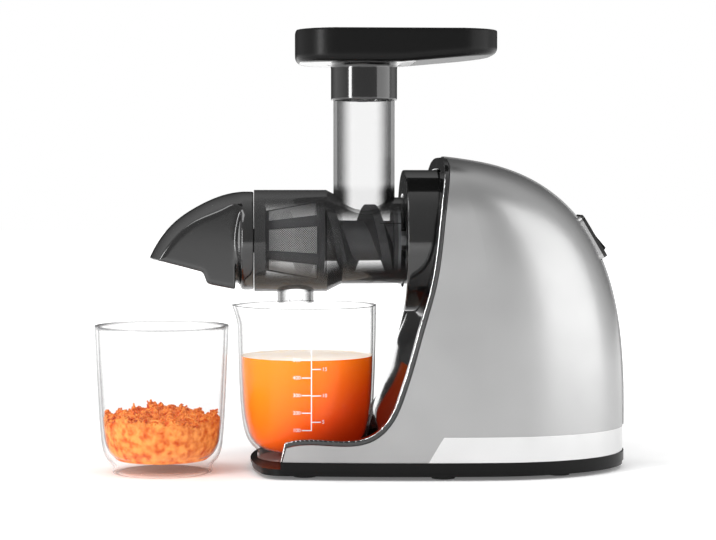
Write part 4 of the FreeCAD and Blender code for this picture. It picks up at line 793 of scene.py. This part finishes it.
def pulpTop(x, y):
    centreX, centreY = cup["centre"]
    out = math.hypot(x - centreX, y - centreY) / pulp["radius"]
    wide = noise.noise(Vector((x * 0.05 + 3.1, y * 0.05, pulp["seed"])))
    fine = noise.fractal(Vector((x * 0.15, y * 0.15, pulp["seed"])), 0.6, 2.2, 5)
    heap = pulp["level"] + pulp["swell"] * (1 - out ** 2)
    return heap + wide * pulp["waves"] + fine * pulp["crumbs"]


def pulpRadius(height):
    line = pulp["wall"]
    for (low, inner), (high, outer) in zip(line, line[1:]):
        if height <= high:
            return inner + (outer - inner) * (height - low) / (high - low)
    return line[-1][1]


def makePulp():
    centreX, centreY = cup["centre"]
    mesh = bpy.data.meshes.new("cupPulp")
    points = [Vector((centreX, centreY, pulpTop(centreX, centreY))) * mm]
    faces = []
    around = pulp["around"]
    rings = pulp["rings"]
    for ring in range(1, rings + 1):
        for turn in range(around):
            angle = 2 * math.pi * turn / around
            reach = pulp["reach"] * ring / rings
            x = centreX + reach * math.cos(angle)
            y = centreY + reach * math.sin(angle)
            points.append(Vector((x, y, pulpTop(x, y))) * mm)
    levels = pulp["levels"]
    for level in range(levels + 1):
        for turn in range(around):
            angle = 2 * math.pi * turn / around
            topX = centreX + pulp["reach"] * math.cos(angle)
            topY = centreY + pulp["reach"] * math.sin(angle)
            top = pulpTop(topX, topY) - 1.2
            height = top + (pulp["floor"] - top) * level / levels
            reach = pulpRadius(height) - 0.25
            x = centreX + reach * math.cos(angle)
            y = centreY + reach * math.sin(angle)
            points.append(Vector((x, y, height)) * mm)
    points.append(Vector((centreX, centreY, 9.8)) * mm)
    for turn in range(around):
        after = (turn + 1) % around
        faces.append((0, 1 + turn, 1 + after))
        for ring in range(rings + levels):
            inner = 1 + ring * around
            outer = inner + around
            faces.append((inner + turn, outer + turn, outer + after, inner + after))
        last = 1 + (rings + levels) * around
        faces.append((last + after, last + turn, len(points) - 1))
    mesh.from_pydata(points, [], faces)
    mesh.materials.append(finishes["pulp"].material)
    piece = makePiece("cupPulp", mesh, "clear_cup", "cup")
    softShade(piece, 70)
    growShreds(piece.data)


def growShreds(heap):
    grower = Grower("pulpShreds", {
        "Count": pulp["shreds"], "Seed": pulp["seed"],
        "Length": pulp["shredLength"] * mm, "Width": pulp["shredWidth"] * mm,
    })
    normal = grower.add("GeometryNodeInputNormal")
    facing = grower.add("ShaderNodeSeparateXYZ", {0: normal.outputs[0]})
    area = math.pi * (pulp["radius"] * mm) ** 2
    scatter = grower.add("GeometryNodeDistributePointsOnFaces", {
        "Mesh": grower.given("Geometry"), "Selection": grower.sum("GREATER_THAN", facing.outputs["Z"], 0.3),
        "Density": grower.sum("DIVIDE", grower.given("Count"), area), "Seed": grower.given("Seed"),
    })
    bend = grower.add("GeometryNodeCurveArc", {
        "Resolution": 4, "Radius": grower.given("Length"), "Sweep Angle": pulp["shredBend"],
    })
    section = grower.add("GeometryNodeCurvePrimitiveCircle", {
        "Resolution": 4, "Radius": grower.given("Width"),
    })
    shred = grower.add("GeometryNodeCurveToMesh", {
        "Curve": bend.outputs[0], "Profile Curve": section.outputs[0], "Fill Caps": True,
    })
    centred = grower.add("GeometryNodeTransform", {
        "Geometry": shred.outputs[0], "Translation": (-0.0036, -0.0022, 0),
    })
    turn = grower.add("FunctionNodeRandomValue", {
        "Min": (0, 0, 0), "Max": (6.28, 6.28, 6.28), "Seed": grower.given("Seed"),
    }, data_type="FLOAT_VECTOR")
    growth = grower.add("FunctionNodeRandomValue", {"Seed": grower.given("Seed")}, data_type="FLOAT")
    growth.inputs[2].default_value = 0.35
    growth.inputs[3].default_value = 1.0
    copies = grower.add("GeometryNodeInstanceOnPoints", {
        "Points": scatter.outputs["Points"], "Instance": centred.outputs[0],
        "Rotation": turn.outputs[0], "Scale": growth.outputs[1],
    })
    grower.finishWith(copies.outputs[0], finishes["pulp"])
    mesh = grower.grow("pulpShreds", heap.copy())
    centre = Vector((*cup["centre"], 0)) * mm
    for vertex in mesh.vertices:
        flat = Vector((vertex.co.x, vertex.co.y, 0)) - centre
        limit = (pulpRadius(vertex.co.z / mm) - 0.5) * mm
        if flat.length > limit:
            flat.length = limit
            vertex.co = Vector((centre.x + flat.x, centre.y + flat.y, vertex.co.z))
    piece = bpy.data.objects.new("pulpShreds", mesh)
    bpy.context.scene.collection.objects.link(piece)
    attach(piece, "cup")


makeJuice()
makePulp()
print("juice and pulp filled in")

# Floor, world and lights
studio = {
    "floorSize": 14.0,
    "fade": (0.30, 1.40),
    "glow": (0.14, 0.78),
    "side": {"place": (1.45, -0.55, 0.42), "size": (1.6, 0.9), "power": 9.0, "mirror": True},
    "left": {"place": (-1.35, -1.05, 0.35), "size": (0.30, 1.0), "power": 16.0, "mirror": True},
    "high": {"place": (-0.75, -0.75, 1.6), "size": (0.8, 0.8), "power": 8.0, "mirror": True},
    "over": {"place": (0.0, -0.3, 2.4), "size": (3.0, 3.0), "power": 32.0, "mirror": False},
    "depthStops": [(0.0, 0.42), (0.25, 0.52), (0.50, 0.80), (0.72, 0.75), (0.86, 0.30), (0.97, 0.04)],
    "heightStops": [(0.0, 1.0), (0.50, 1.0), (0.66, 1.0), (0.85, 1.0), (1.0, 0.95)],
}


def makeFloor():
    half = studio["floorSize"] / 2
    mesh = bpy.data.meshes.new("floor")
    corners = [(-half, -half, 0), (half, -half, 0), (half, half, 0), (-half, half, 0)]
    mesh.from_pydata(corners, [], [(0, 1, 2, 3)])
    floor = bpy.data.objects.new("floor", mesh)
    bpy.context.scene.collection.objects.link(floor)
    pale = moulded("paleFloor", (0.93, 0.93, 0.93), 0.7, 30.0, 0.0)
    away = pale.add("ShaderNodeVectorMath", operation="LENGTH")
    pale.link(pale.coords.outputs["Object"], away.inputs[0])
    glow = pale.add("ShaderNodeMapRange", interpolation_type="SMOOTHSTEP")
    glow.inputs["From Min"].default_value, glow.inputs["From Max"].default_value = studio["fade"]
    pale.link(away.outputs["Value"], glow.inputs["Value"])
    glow.inputs["To Min"].default_value, glow.inputs["To Max"].default_value = studio["glow"]
    pale.link(glow.outputs["Result"], pale.surface.inputs["Emission Strength"])
    pale.set(Emission_Color=(1.0, 1.0, 1.0, 1.0))
    mesh.materials.append(pale.material)


def makeLights():
    for name in ("side", "left", "high", "over"):
        setting = studio[name]
        data = bpy.data.lights.new(name + "Light", "AREA")
        data.shape = "RECTANGLE"
        data.size, data.size_y = setting["size"]
        data.energy = setting["power"]
        light = bpy.data.objects.new(name + "Light", data)
        light.location = setting["place"]
        aim = Vector((0, 0, 0.15)) - Vector(setting["place"])
        light.rotation_euler = aim.to_track_quat("-Z", "Y").to_euler()
        light.visible_glossy = setting["mirror"]
        bpy.context.scene.collection.objects.link(light)


def makeWorld():
    world = bpy.data.worlds.new("studioWorld")
    world.use_nodes = True
    tree = world.node_tree
    coords = tree.nodes.new("ShaderNodeTexCoord")
    split = tree.nodes.new("ShaderNodeSeparateXYZ")
    tree.links.new(coords.outputs["Generated"], split.inputs[0])
    shares = []
    for axis, stops in (("Y", studio["depthStops"]), ("Z", studio["heightStops"])):
        spread = tree.nodes.new("ShaderNodeMapRange")
        spread.inputs["From Min"].default_value = -1.0
        tree.links.new(split.outputs[axis], spread.inputs["Value"])
        ramp = tree.nodes.new("ShaderNodeValToRGB")
        elements = ramp.color_ramp.elements
        while len(elements) < len(stops):
            elements.new(0.5)
        for element, (place, grey) in zip(elements, stops):
            element.position = place
            element.color = (grey, grey, grey, 1.0)
        tree.links.new(spread.outputs["Result"], ramp.inputs["Fac"])
        shares.append(ramp.outputs["Color"])
    product = tree.nodes.new("ShaderNodeMath")
    product.operation = "MULTIPLY"
    tree.links.new(shares[0], product.inputs[0])
    tree.links.new(shares[1], product.inputs[1])
    path = tree.nodes.new("ShaderNodeLightPath")
    brighter = tree.nodes.new("ShaderNodeMath")
    brighter.operation = "MAXIMUM"
    tree.links.new(product.outputs[0], brighter.inputs[0])
    tree.links.new(path.outputs["Is Camera Ray"], brighter.inputs[1])
    tree.links.new(brighter.outputs[0], tree.nodes["Background"].inputs["Strength"])
    tree.nodes["Background"].inputs["Color"].default_value = (1.0, 1.0, 1.0, 1.0)
    bpy.context.scene.world = world
    bpy.context.scene.view_settings.view_transform = "Standard"


makeFloor()
makeLights()
makeWorld()
print("studio lit")
